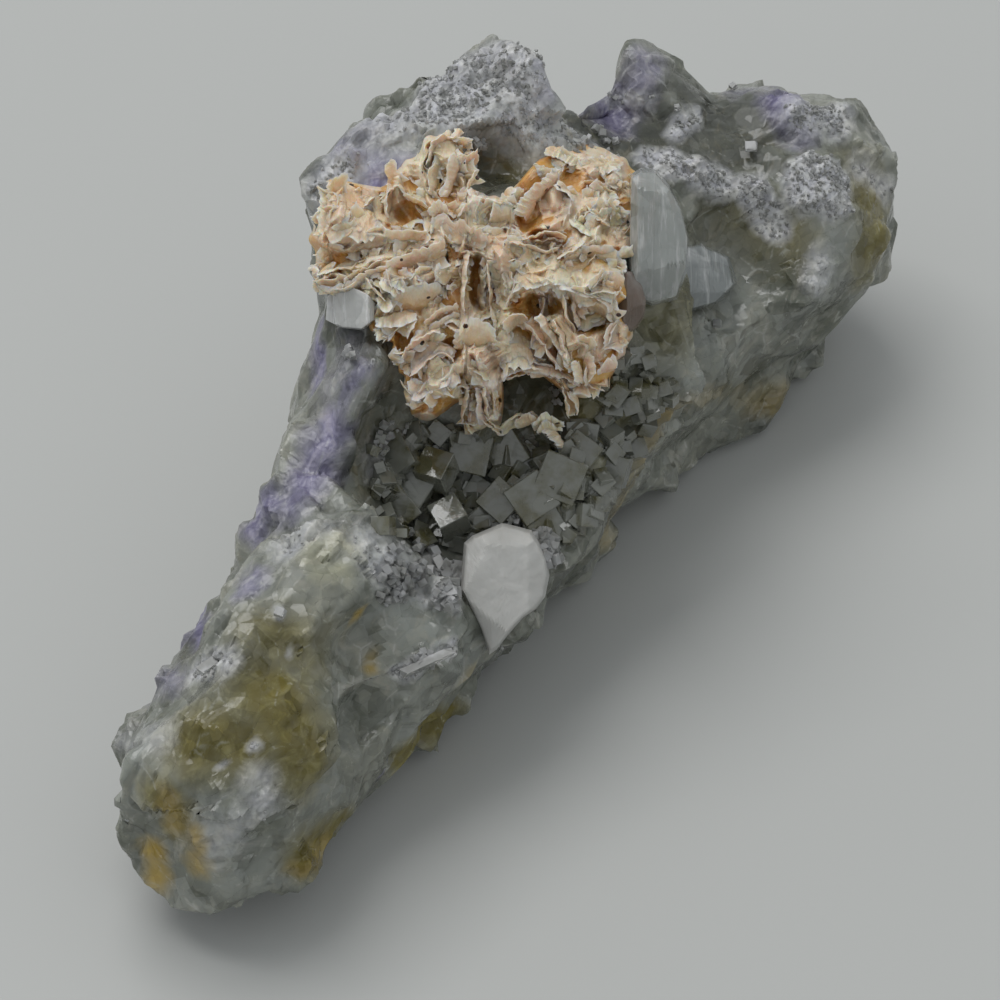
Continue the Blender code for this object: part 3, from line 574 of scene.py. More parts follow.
def makeStone():
    # The stone's grid with its colour marks, small chips (the lowest nearby plane), sugary grains and noise
    grid = stoneGrid + np.array(stoneShape["shift"]) * mm
    hidden = hiddenShare(grid)
    marks = {}
    for number, (name, spots) in enumerate(zones.items()):
        marks[name] = zoneMask(grid, spots, 20 * number)
    for name, (size, seed, sign, low, high, strength) in stoneShape["hidden"].items():
        patch = steepStep(sign * roughNoise(grid / (size * mm), seed), low, high)
        marks[name] = np.maximum(marks[name], hidden * patch * strength)
    draw = np.random.RandomState(23)
    count, lean, reach = stoneShape["chips"]
    share = np.linalg.norm(gridSlopes(grid), axis=-1).ravel()
    chosen = draw.choice(share.size, count, replace=False, p=share / share.sum())
    facing = unit(gridNormals(grid).reshape(-1, 3)[chosen] + lean * (draw.rand(count, 3) * 2 - 1))
    lift = facetLift(grid, stoneOut, grid.reshape(-1, 3)[chosen], facing, reach * mm, 8)
    sugar = np.clip(marks["sugar"], 0, 1)
    bent = grid + 0.8 * mm * np.stack([roughNoise(grid / (2 * mm), 51 + k) for k in range(3)], -1)
    for high, size, seed, level in stoneShape["sugarGrains"]:
        lift += sugar * high * mm * (grainNoise(bent / (size * mm), seed) - level)
    lift += sugar * 0.35 * mm * (1 - 2.5 * np.abs(smoothNoise(bent / (1.7 * mm), 12)))
    lift += 0.30 * mm * roughNoise(grid / (4.2 * mm), 37) + 0.06 * mm * roughNoise(grid / (1.1 * mm), 31)
    row = np.arange(len(grid))
    fade = np.clip(np.minimum(row, row[::-1]) / stoneShape["poleRows"], 0, 1)
    grid = grid + stoneOut * (lift * fade[:, None])[..., None]
    low = cadBox[0]
    grid[..., 2] = np.maximum(grid[..., 2], low[2])
    grid[0], grid[-1] = grid[0].mean(0), grid[-1].mean(0)
    points, faces = closedRings(grid[1:-1], grid[0, 0], grid[-1, 0])
    flat = {k: np.concatenate([v[1:-1].ravel(), v[:1, 0], v[-1:, 0]]) for k, v in marks.items()}
    stone = putPiece("fluorite_lump", points, faces, fluoriteFinish(), flat,
                     stoneShape["sharpAngle"])
    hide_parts("fluorite_stone")
    return grid, marks


# Colour of each zone: weight of its mark, the noise that frays it, how much, level, greatest share, then the
# noise between its two colours, where that noise starts and ends, and the two colours
stoneColours = {
    "veil": (0.8, "wisps", 0.6, 0, 0.85, "wisps", 0, 1, (0.285, 0.300, 0.275), None),
    "olive": (1.1, "cloud", 0.6, 0, 0.95, "wisps", 0.42, 0.7, (0.120, 0.095, 0.010),
              (0.210, 0.185, 0.050)),
    # Colour of the dark zone: dark glassy stone, and painted shade in hollows and along the lower edge
    "darkAndShade": (1.2, "wisps", 0.7, 0, 0.9, "wisps", 0, 1, (0.050, 0.052, 0.040), None),
    "purple": (1.1, "fine", 0.7, 0.12, 0.85, "wisps", 0.4, 0.65, (0.130, 0.112, 0.235),
               (0.310, 0.290, 0.440)),
    "sugar": (1.2, "wisps", 0.9, 0.12, 0.9, "fine", 0.35, 0.6, (0.45, 0.45, 0.48), (0.58, 0.58, 0.58)),
    "lemon": (1.0, "fine", 0.6, 0, 0.8, "fine", 0, 1, (0.42, 0.41, 0.28), None),
    "ochre": (1.0, "wisps", 0.5, 0, 0.85, "wisps", 0, 1, (0.38, 0.260, 0.045), None),
}


def fluoriteFinish():
    # Grey glassy fluorite: clouds, cells and wisps of grey, then the zones (the dark one partly painted
    # shade), veins, and facet and crumb relief
    def build(w):
        place = w.place()
        cloud = w.noise(place, 130, 2, 0.55, 0.6)
        fine = w.noise(place, 620, 3, 0.6)
        wisps = w.noise(place.stretched((1, 1.6, 1)), 260, 4, 0.62, 1.6)
        base = w.blend(cloud.step(0.35, 0.7), (0.120, 0.127, 0.100), (0.235, 0.242, 0.210))
        base = w.blend(w.cells(place, 330, 1).step(0.45, 0.85) * 0.4, base, (0.300, 0.310, 0.285))
        base = w.blend(w.cells(place, 700, 1).step(0.5, 0.8) * 0.3, base, (0.060, 0.065, 0.050))
        base = w.blend(wisps.step(0.5, 0.72) * 0.45, base, (0.36, 0.37, 0.35))
        noises = {"cloud": cloud, "fine": fine, "wisps": wisps}
        for name, values in stoneColours.items():
            weight, frayed, much, level, most, between, low, high, first, second = values
            share = (w.mark(name) * weight + (noises[frayed] - 0.5) * much - level).clamped() * most
            colour = w.blend(noises[between].step(low, high), first, second) if second else first
            base = w.blend(share, base, colour)
        bent = w.warped(place, 240, 3, 0.0016)
        veins = 1 - w.cells(bent, 210, 0, "DISTANCE_TO_EDGE").step(0.0, 0.035)
        base = w.blend(veins * wisps.step(0.48, 0.62) * 0.35, base, (0.44, 0.45, 0.42))
        rough = 0.14 + w.mark("sugar") * 0.35 + fine.step(0.5, 0.7) * 0.15 + w.mark("purple") * 0.25
        crumbs = w.cells(w.warped(place, 900, 1, 0.0006), 1500)
        tilt = w.bump(w.facets(place, 240, 0.65), 1.0, 1.0)
        tilt = w.bump(w.facets(place, 800, 0.5), 1.0, 1.0, tilt)
        tilt = w.bump(crumbs * (w.mark("sugar") + w.mark("purple") * 0.6).clamped(), 0.5, 0.0005, tilt)
        return {"Base Color": base, "Roughness": rough.clamped(), "Normal": tilt}
    return newFinish("fluorite_glassy", build, Subsurface_Weight=0.25, Subsurface_Radius=(1.0, 0.97, 0.88),
                     Subsurface_Scale=0.0016, IOR=1.43, Coat_Weight=0.25, Coat_Roughness=0.06)


stoneFine, stoneMarks = makeStone()


# The barite: blades traced in photo places, (x, y, mm above the cluster's mean surface) along the free rim
# and the root; then thickness in mm, tone from 0 cream to 1 pink (negative is yellow), and amber tint and
# painted shade toward the root, from 0 to 1
bladeShape = {
    "area": (296, 120, 645, 440),
    "middle": (470, 280),
    "span": 170,           # pixels
    "samples": 14,         # along each side of the area
    "behind": 0.03,        # m, samples further back than this are off the stone
    "step": 0.27,          # mm between grid lines
    "thin": 0.42,          # share of the given thickness
    "main": {"ragged": 0.20, "ripple": 0.035, "curl": 0.5},
    "layered": 0.75,       # blades up to this thickness are stacks of two sheets
    "layer": (0.5, 0.22, 0.08),    # the second sheet: shift in mm, shares lost at the rim and at the sides
    "traced": [
        ([(315, 246, 4.5), (330, 251, 5), (345, 249, 5), (362, 251, 5), (374, 242, 4.8), (379, 228, 4.5)],
         [(318, 200, 1.5), (332, 190, 1.5), (345, 185, 1.5), (358, 192, 1.5), (368, 204, 1.5),
          (376, 212, 1.5)], 1.6, 0.0, 0.0),
        ([(306, 276, 4), (318, 278, 4.6), (345, 270, 5), (360, 266, 5.2), (372, 262, 5.2), (385, 256, 5)],
         [(322, 262, 0), (340, 256, -0.5), (352, 254, -0.5), (364, 251, -0.5), (380, 247, 0.5),
          (392, 244, 1)], 0.7, 0.0, 0.9),
        ([(306, 276, 4), (318, 278, 4.6), (345, 270, 5), (360, 266, 5.2), (372, 262, 5.2), (385, 256, 5)],
         [(318, 291, 2), (332, 291, 2.5), (350, 288, 3), (364, 280, 3), (378, 270, 3), (390, 262, 3)],
         0.7, 0.3, 0.2),
        ([(326, 290, 4), (345, 287, 5), (358, 272, 5.5), (372, 264, 5.5), (393, 253, 5.8), (430, 240, 6),
          (442, 233, 6)],
         [(350, 292, 2), (365, 290, 2), (385, 284, 2), (400, 274, 2.5), (420, 268, 3), (437, 260, 3),
          (450, 248, 3.5)], 0.8, 0.35, 0.2),
        ([(390, 291, 4.5), (398, 283, 5), (408, 276, 5.5), (425, 270, 6), (434, 268, 6)],
         [(386, 312, 3), (400, 314, 2.5), (417, 313, 2), (435, 310, 1.5), (452, 300, 1.5)], 0.8, 0.25, 0.5),
        ([(374, 325, 5), (385, 329, 5.4), (393, 330, 5.6), (408, 328, 5.6), (420, 324, 5.4)],
         [(374, 319, 2), (385, 316, 2), (395, 315, 2), (408, 314, 2), (417, 313, 2)], 0.9, 0.1, 0.0),
        ([(468, 247, 6), (466, 262, 6.8), (464, 280, 7), (463, 298, 6.6), (466, 314, 5.5)],
         [(472, 250, 1), (470, 262, 0), (468, 280, 0), (467, 298, 0), (469, 314, 0)], 0.75, 0.3, 0.1),
        ([(488, 256, 5.5), (489, 275, 6), (491, 295, 6), (494, 318, 5.5), (497, 337, 5)],
         [(485, 258, 0), (486, 275, -0.5), (488, 295, -0.5), (491, 318, 0), (494, 337, 0)], 0.5, 0.1, 0.2),
        ([(510, 297, 5.5), (523, 294, 6), (537, 290, 6.2), (548, 288, 6.4), (563, 291, 6.2),
          (590, 301, 5.6), (611, 312, 5)],
         [(513, 262, 3), (530, 261, 3), (545, 260, 3), (560, 257, 3), (577, 256, 3), (600, 257, 3),
          (622, 268, 3)], 1.0, 0.0, 0.35),
        ([(581, 243, 6), (592, 240, 6.3), (605, 241, 6.4), (616, 248, 6), (626, 260, 5.4), (628, 272, 5)],
         [(575, 258, 3), (588, 256, 3), (600, 256, 3), (610, 260, 3), (618, 268, 3), (620, 276, 3)],
         0.8, 0.5, 0.2),
        ([(558, 261, 6.8), (567, 253, 7), (576, 246, 7.2), (584, 240, 7.2)],
         [(562, 265, 3.5), (571, 257, 3.5), (580, 250, 3.5), (588, 244, 3.5)], 0.6, 0.1, 0.0),
        ([(585, 288, 7.4), (592, 280, 7.6), (598, 273, 7.6), (603, 266, 7.4)],
         [(589, 291, 4), (596, 283, 4), (602, 276, 4), (607, 269, 4)], 0.6, 0.0, 0.0),
        ([(568, 283, 7), (575, 281, 7.3), (583, 286, 7.3), (585, 293, 7)],
         [(570, 291, 4), (576, 294, 4), (580, 296, 4), (583, 298, 4)], 0.9, 0.0, 0.0),
        ([(590, 290, 6.8), (600, 291, 7), (616, 292, 6.6)],
         [(590, 295, 4), (600, 296, 4), (616, 297, 4)], 0.6, 0.1, 0.0),
        ([(563, 293, 6.8), (566, 305, 7), (570, 320, 6.8), (574, 335, 6.2)],
         [(568, 293, 1), (571, 305, 0.5), (575, 320, 0.5), (579, 334, 1)], 0.55, 0.2, 0.1),
        ([(553, 287, 6.8), (575, 295, 6.6), (597, 304, 6), (613, 314, 5.6)],
         [(556, 282, 4), (578, 289, 4), (599, 297, 4), (615, 307, 4)], 0.7, 0.3, 0.1),
        ([(542, 296, 4.5), (541, 308, 4.6), (539, 321, 4.4)],
         [(547, 297, 0), (546, 308, 0), (544, 321, 0)], 0.5, 0.1, 0.3),
        ([(552, 318, 7), (556, 330, 7.4), (561, 348, 7.4), (567, 368, 6.8)],
         [(560, 316, 4), (564, 330, 3.5), (568, 348, 3.5), (571, 366, 4)], 0.9, 0.1, 0.0),
        ([(531, 317, 6.6), (541, 334, 7), (554, 352, 7), (567, 371, 6.5)],
         [(538, 313, 3.5), (549, 330, 3), (560, 347, 3), (570, 364, 3.5)], 0.9, 0.25, 0.0),
        ([(523, 320, 5.8), (535, 338, 6.2), (548, 357, 6.2), (561, 374, 5.8)],
         [(530, 316, 3), (542, 333, 3), (555, 351, 3), (566, 368, 3)], 0.8, 0.4, 0.2),
        ([(503, 346, 4.5), (520, 351, 4), (540, 366, 3.5), (560, 375, 4)],
         [(507, 325, 1.5), (522, 325, 1), (538, 340, 0.5), (555, 362, 1)], 0.6, 0.5, 0.9),
        ([(502, 327, 6.5), (506, 320, 7), (513, 314, 7.2), (522, 313, 7), (526, 316, 6.6)],
         [(505, 334, 4), (511, 328, 4), (517, 322, 4), (524, 321, 4), (529, 322, 4)], 0.5, 0.0, 0.0),
        ([(502, 383, 5.5), (512, 375, 6), (525, 373, 6), (536, 371, 6), (547, 371, 5.6)],
         [(493, 362, 3.5), (505, 346, 3.5), (520, 344, 3.5), (530, 352, 3.5), (535, 362, 3.5)],
         0.6, 0.05, 0.0),
        ([(497, 387, 5), (505, 380, 5.4), (517, 374, 5.6), (535, 374, 5.6), (552, 377, 5.5),
          (566, 383, 5.4), (579, 392, 5)],
         [(493, 372, 2.5), (504, 368, 2), (518, 364, 2), (535, 364, 2), (552, 368, 2), (568, 374, 2),
          (582, 382, 2)], 0.7, 0.5, 0.6),
        ([(463, 358, 6.5), (470, 353, 7), (480, 355, 7), (488, 362, 6.6)],
         [(466, 373, 4), (473, 371, 4), (480, 372, 4), (487, 376, 4)], 1.0, -0.2, 0.0),
        ([(466, 373, 6.2), (474, 377, 6.6), (483, 382, 6.4), (491, 386, 5.8)],
         [(468, 362, 4), (475, 364, 4), (484, 369, 4), (492, 374, 4)], 0.9, -0.8, 0.1),
        ([(398, 354, 5.5), (402, 346, 6), (409, 339, 6.2), (420, 333, 6.2), (432, 330, 6), (443, 331, 5.6)],
         [(405, 377, 3), (412, 370, 2.5), (420, 362, 2.5), (430, 352, 2.5), (438, 345, 2.5),
          (447, 340, 2.5)], 0.8, 0.7, 0.1),
        ([(404, 379, 5.6), (415, 374, 6.2), (430, 366, 6.4), (444, 362, 6.2), (456, 366, 5.8)],
         [(410, 362, 3.5), (420, 352, 3.5), (432, 343, 3.5), (445, 344, 3.5), (458, 352, 3.5)],
         0.7, 0.9, 0.1),
        ([(417, 421, 5), (430, 411, 5.6), (443, 402, 6), (455, 392, 6), (463, 383, 5.6)],
         [(404, 382, 4), (418, 378, 4), (432, 370, 4), (446, 366, 4), (459, 370, 4)], 0.8, 1.0, 0.15),
        ([(411, 405, 5.7), (424, 400, 6.2), (440, 390, 6.4), (456, 381, 6.2)],
         [(409, 388, 4), (421, 385, 4), (436, 377, 4), (452, 371, 4)], 0.6, 0.8, 0.0),
        ([(466, 388, 6), (465, 400, 6.4), (464, 412, 6), (463, 425, 5)],
         [(472, 388, 3), (471, 400, 2.5), (470, 412, 2), (468, 424, 2)], 0.5, 0.6, 0.2),
        ([(474, 386, 6.4), (474, 400, 6.8), (475, 412, 6.4), (477, 427, 5.4)],
         [(479, 386, 3), (479, 400, 3), (480, 412, 2.5), (481, 426, 2)], 0.5, 0.8, 0.1),
        ([(483, 386, 6.6), (485, 398, 7), (487, 408, 6.4), (489, 419, 5.4)],
         [(488, 386, 3), (490, 398, 3), (491, 408, 2.5), (493, 418, 2)], 0.5, 0.5, 0.1),
        ([(492, 388, 6), (496, 398, 6.2), (497, 406, 6), (494, 418, 5)],
         [(487, 390, 3), (490, 398, 3), (491, 406, 2.5), (490, 416, 2)], 0.45, 0.2, 0.0),
        ([(463, 425, 3.2), (475, 428, 3.6), (488, 421, 3.8), (498, 405, 3.8)],
         [(462, 386, 3), (472, 384, 3), (484, 384, 3), (497, 384, 3)], 0.6, 0.7, 0.3),
        ([(475, 416, 5.6), (484, 424, 6), (493, 431, 5.6), (502, 438, 4.6)],
         [(479, 412, 3.5), (488, 420, 3.5), (497, 427, 3.5), (505, 434, 3.2)], 0.45, 0.0, 0.0),
        ([(497, 430, 4.0), (506, 421, 5), (514, 414, 5.6), (524, 411, 5.2)],
         [(501, 436, 2.5), (510, 430, 2.5), (519, 424, 2.5), (527, 420, 2.5)], 0.6, -0.3, 0.0),
        ([(512, 424, 5), (520, 414, 5.8), (530, 412, 6.2), (539, 419, 5)],
         [(517, 430, 2.5), (525, 424, 2.5), (533, 422, 2.5), (540, 428, 2.5)], 0.5, -0.2, 0.0),
        ([(528, 424, 4.6), (541, 414, 6), (553, 415, 5.8), (566, 420, 5)],
         [(533, 431, 2.5), (544, 424, 2.5), (555, 425, 2.5), (566, 428, 2)], 0.55, -0.3, 0.0),
        ([(538, 430, 5.4), (546, 436, 5.6), (553, 444, 5.2), (557, 456, 4.2)],
         [(548, 426, 3), (556, 432, 3), (562, 442, 2.6), (563, 453, 2)], 0.6, 0.2, 0.0),
        ([(561, 388, 5.6), (563, 400, 6), (566, 410, 6), (568, 419, 5.4)],
         [(571, 386, 3), (573, 398, 3), (574, 408, 2.6), (574, 417, 2.4)], 0.6, 0.05, 0.0),
        ([(607, 321, 5.5), (600, 338, 5.8), (598, 352, 5.6), (612, 353, 5.6), (625, 357, 5.2)],
         [(620, 318, 3), (618, 326, 3), (617, 334, 3), (618, 340, 3), (622, 344, 3)], 0.7, 0.4, 0.1),
        ([(576, 338, 6.6), (584, 334, 7), (592, 338, 7), (598, 346, 6.4)],
         [(578, 350, 4), (584, 350, 4), (590, 352, 4), (594, 356, 4)], 0.9, 0.0, 0.0),
        ([(588, 352, 6.4), (595, 360, 6.8), (598, 373, 6.8), (592, 385, 6)],
         [(581, 356, 4), (585, 362, 4), (587, 372, 4), (585, 382, 4)], 1.0, 0.0, 0.0),
        ([(573, 360, 6.6), (570, 372, 7), (573, 385, 6.4)],
         [(581, 360, 4), (580, 372, 4), (581, 384, 4)], 0.9, 0.2, 0.0),
        ([(583, 366, 6.8), (581, 376, 7), (585, 387, 6.4)],
         [(590, 366, 4), (590, 376, 4), (591, 386, 4)], 0.8, 0.0, 0.0),
        ([(584, 391, 5), (592, 399, 5.6), (601, 403, 5)],
         [(585, 383, 3), (594, 386, 3), (602, 387, 3)], 0.6, 0.0, 0.0),
        ([(575, 334, 2.8), (585, 333, 3.2), (600, 331, 3.6), (607, 326, 3.6)],
         [(575, 312, 0.5), (585, 312, 0.5), (597, 314, 1), (605, 318, 1)], 0.6, -0.4, 0.9),
        ([(512, 215, 5.5), (516, 201, 6), (528, 187, 6.4), (541, 175, 6.4), (553, 162, 6)],
         [(524, 222, 2.5), (532, 210, 2.5), (540, 198, 2.5), (550, 188, 2.5), (558, 176, 2.5)],
         0.9, 0.4, 0.1),
        ([(552, 186, 6.4), (558, 191, 6.8), (565, 198, 6.6), (571, 205, 6)],
         [(556, 182, 3), (562, 187, 3), (569, 194, 3), (575, 201, 3)], 0.6, 0.0, 0.0),
        ([(540, 159, 5), (550, 157, 5.4), (560, 158, 5.6), (575, 168, 5.8), (590, 171, 5.6),
          (606, 172, 5.4), (624, 173, 5)],
         [(545, 148, 2), (555, 148, 2), (570, 154, 2), (585, 158, 2), (600, 160, 2), (612, 162, 2),
          (626, 164, 2)], 1.1, 0.0, 0.1),
        ([(583, 175, 6), (593, 179, 6.2), (603, 184, 6), (614, 188, 5.4)],
         [(586, 181, 3), (596, 186, 3), (605, 191, 3), (614, 195, 3)], 0.6, 0.3, 0.0),
        ([(577, 212, 6), (588, 208, 6.6), (600, 204, 6.8), (612, 206, 6.6), (625, 207, 6)],
         [(578, 228, 3.5), (590, 229, 3.5), (600, 228, 3.5), (612, 224, 3.5), (625, 220, 3.5)],
         1.1, -0.5, 0.0),
        ([(583, 203, 5.5), (592, 213, 6.8), (600, 222, 6.8), (608, 229, 6)],
         [(590, 199, 3), (599, 208, 3), (608, 217, 3), (615, 224, 3)], 0.9, -0.4, 0.0),
        ([(566, 222, 5.4), (575, 228, 6), (584, 234, 6.2), (594, 238, 5.6)],
         [(572, 214, 3), (582, 218, 3), (591, 224, 3), (600, 230, 3)], 0.9, -0.6, 0.0),
        ([(521, 238, 6.2), (532, 232, 6.8), (543, 228, 7), (556, 229, 7), (569, 233, 6.4)],
         [(524, 248, 3.5), (535, 245, 3), (545, 243, 3), (556, 243, 3), (567, 245, 3.5)], 0.6, 0.1, 0.3),
        ([(500, 251, 5.6), (515, 247, 6), (530, 249, 6), (545, 253, 6), (560, 251, 5.8)],
         [(502, 235, 3.5), (515, 233, 3.5), (530, 238, 3), (545, 243, 3), (560, 243, 3.5)], 0.8, 0.6, 0.1),
        ([(459, 214, 5), (464, 201, 5.8), (474, 195, 6), (486, 195, 6), (496, 201, 5.6)],
         [(460, 226, 3), (470, 222, 3), (480, 220, 3), (490, 220, 3), (498, 221, 3)], 1.2, 0.0, 0.0),
        ([(488, 215, 5.4), (492, 202, 6), (502, 196, 6.2), (512, 200, 5.8), (517, 209, 5.4)],
         [(490, 226, 3), (496, 222, 3), (504, 220, 3), (510, 220, 3), (515, 222, 3)], 1.2, 0.0, 0.0),
        ([(428, 213, 5.2), (431, 204, 5.6), (438, 198, 5.8), (447, 201, 5.6), (451, 209, 5.2)],
         [(430, 222, 3), (436, 219, 3), (440, 218, 3), (446, 219, 3), (450, 221, 3)], 1.2, -0.4, 0.0),
        ([(425, 165, 4), (428, 150, 4.6), (434, 138, 5), (445, 130, 5), (458, 134, 5)],
         [(434, 174, 1.5), (439, 162, 1.5), (445, 152, 1.5), (452, 148, 1.5), (460, 150, 1.5)],
         1.0, 0.45, 0.1),
        ([(438, 198, 4.5), (441, 182, 5), (446, 166, 5.2), (452, 150, 5.2)],
         [(449, 200, 1.5), (452, 184, 1.5), (456, 169, 1.5), (460, 156, 1.5)], 0.9, 0.2, 0.1),
        ([(428, 196, 4.2), (427, 182, 4.6), (430, 170, 4.6), (436, 160, 4.4)],
         [(437, 200, 1.5), (437, 186, 1.5), (439, 175, 1.5), (444, 166, 1.5)], 0.9, 0.0, 0.1),
        ([(455, 160, 4.6), (464, 152, 5.2), (474, 150, 5), (479, 144, 4.6)],
         [(457, 174, 2), (465, 168, 2), (473, 166, 2), (480, 160, 2)], 0.9, 0.3, 0.1),
        ([(464, 202, 4.4), (467, 188, 5), (473, 178, 5), (475, 168, 4.8)],
         [(454, 200, 1.5), (457, 189, 1.5), (462, 179, 1.5), (466, 170, 1.5)], 0.8, 0.1, 0.0),
        ([(386, 217, 5), (383, 202, 5.4), (388, 189, 5.6), (396, 184, 5.6), (402, 192, 5.2)],
         [(394, 221, 2.5), (393, 207, 2.5), (396, 198, 2.5), (399, 196, 2.5), (404, 203, 2.5)],
         0.9, 0.0, 0.0),
        ([(402, 193, 5.6), (410, 198, 6), (419, 203, 5.8), (429, 209, 5.4)],
         [(405, 189, 2.5), (413, 193, 2.5), (422, 198, 2.5), (432, 204, 2.5)], 0.6, 0.1, 0.0),
        ([(380, 229, 5.5), (392, 230, 6), (404, 228, 6.2), (418, 228, 6.2), (428, 232, 6), (432, 240, 5.8),
          (425, 249, 5.6)],
         [(381, 241, 3), (393, 241, 3), (404, 239, 3), (412, 238, 3), (417, 239, 3), (419, 241, 3),
          (416, 244, 3)], 0.8, 0.1, 0.2),
        ([(428, 214, 4.8), (445, 208, 5.2), (462, 215, 5.6), (478, 223, 5.6), (489, 233, 5.6)],
         [(430, 240, 3.6), (445, 242, 3.6), (460, 244, 3.6), (475, 247, 3.6), (487, 250, 3.6)],
         0.9, 0.6, 0.1),
        ([(365, 276, 6), (372, 286, 6.4), (379, 296, 6.4), (386, 304, 6)],
         [(370, 272, 3), (377, 281, 3), (384, 290, 3), (391, 297, 3)], 0.6, 0.0, 0.0),
        ([(372, 300, 5.6), (378, 308, 6), (385, 311, 6), (393, 304, 5.6)],
         [(378, 295, 3), (383, 300, 3), (387, 301, 3), (391, 297, 3)], 0.6, -0.3, 0.2),
        ([(387, 266, 6), (388, 278, 6.4), (390, 291, 6)],
         [(393, 267, 3), (394, 279, 3), (396, 291, 3)], 0.6, 0.5, 0.0),
        ([(452, 323, 5), (462, 317, 5.6), (476, 316, 5.8), (488, 320, 5.6), (498, 331, 5.4)],
         [(452, 346, 3.4), (464, 348, 3.4), (476, 350, 3.4), (488, 350, 3.4), (500, 348, 3.4)],
         1.0, 0.0, 0.1),
        ([(488, 262, 5.8), (497, 254, 6.2), (507, 252, 6.2), (517, 256, 6)],
         [(490, 281, 3.2), (500, 281, 3.2), (508, 279, 3.2), (516, 272, 3.2)], 1.0, -0.1, 0.0),
        ([(440, 334, 5), (450, 330, 5.5), (458, 338, 5.4), (462, 350, 5)],
         [(438, 322, 2.5), (449, 318, 2.5), (461, 326, 2.5), (470, 340, 2.5)], 0.6, 0.5, 0.3),
        ([(420, 318, 4.6), (434, 312, 5), (448, 306, 5.2), (458, 300, 5)],
         [(424, 330, 2), (438, 324, 2), (451, 318, 2), (462, 312, 2)], 0.7, 0.4, 0.3),
        ([(512, 262, 5.5), (516, 276, 5.8), (512, 290, 5.6), (506, 304, 5.2)],
         [(500, 284, 2.5), (503, 292, 2.5), (501, 300, 2.5), (498, 312, 2.5)], 0.8, 0.5, 0.3),
    ],
}


def clusterTerms(x, y):
    # The terms u^i v^j of a cubic, with u and v the offsets from the cluster's middle over its span
    u, v = [(np.asarray(c, float) - m) / bladeShape["span"] for c, m in zip((x, y), bladeShape["middle"])]
    return np.stack([u**i * v**j for i in range(4) for j in range(4 - i)], -1)


def clusterSurface():
    # A cubic fit of the solid stone's distance along the sight lines over the cluster
    x0, y0, x1, y1 = bladeShape["area"]
    count = bladeShape["samples"]
    xs, ys = np.meshgrid(np.linspace(x0, x1, count), np.linspace(y0, y1, count))
    far = stoneFar(xs, ys)
    keep = far < np.median(far) + bladeShape["behind"]
    return np.linalg.lstsq(clusterTerms(xs, ys)[keep], far[keep], rcond=None)[0]


clusterFit = clusterSurface()


def onCluster(x, y, lift):
    # The photo place on the cluster's mean surface, lifted towards the eye by lift mm
    far = clusterTerms(x, y) @ clusterFit - np.asarray(lift) * mm
    return eye + sightLine(x, y) / cameraLook["reach"] * far[..., None]


def plate(front, back):
    # A closed shell from two grids of points: front, back turned round, and four strips along the borders
    rows, columns = front.shape[:2]
    points = np.concatenate([front.reshape(-1, 3), back.reshape(-1, 3)])
    i, j = np.meshgrid(np.arange(rows - 1), np.arange(columns - 1), indexing="ij")
    a = (i * columns + j).ravel()
    quads = np.stack([a, a + columns, a + columns + 1, a + 1], 1)
    facing = np.cross(front[1:, :-1] - front[:-1, :-1], front[:-1, 1:] - front[:-1, :-1])
    if (facing * (front - back)[:-1, :-1]).sum() < 0:
        quads = quads[:, ::-1]
    half = rows * columns
    under = quads[:, ::-1] + half
    edge = np.concatenate([np.arange(columns), np.arange(1, rows) * columns + columns - 1,
                           (rows - 1) * columns + np.arange(columns - 1)[::-1],
                           np.arange(1, rows - 1)[::-1] * columns])
    following = np.roll(edge, -1)
    border = np.stack([edge, following, following + half, edge + half], 1)
    if (facing * (front - back)[:-1, :-1]).sum() < 0:
        border = border[:, ::-1]
    return points, np.concatenate([quads, under, border[:, ::-1]])


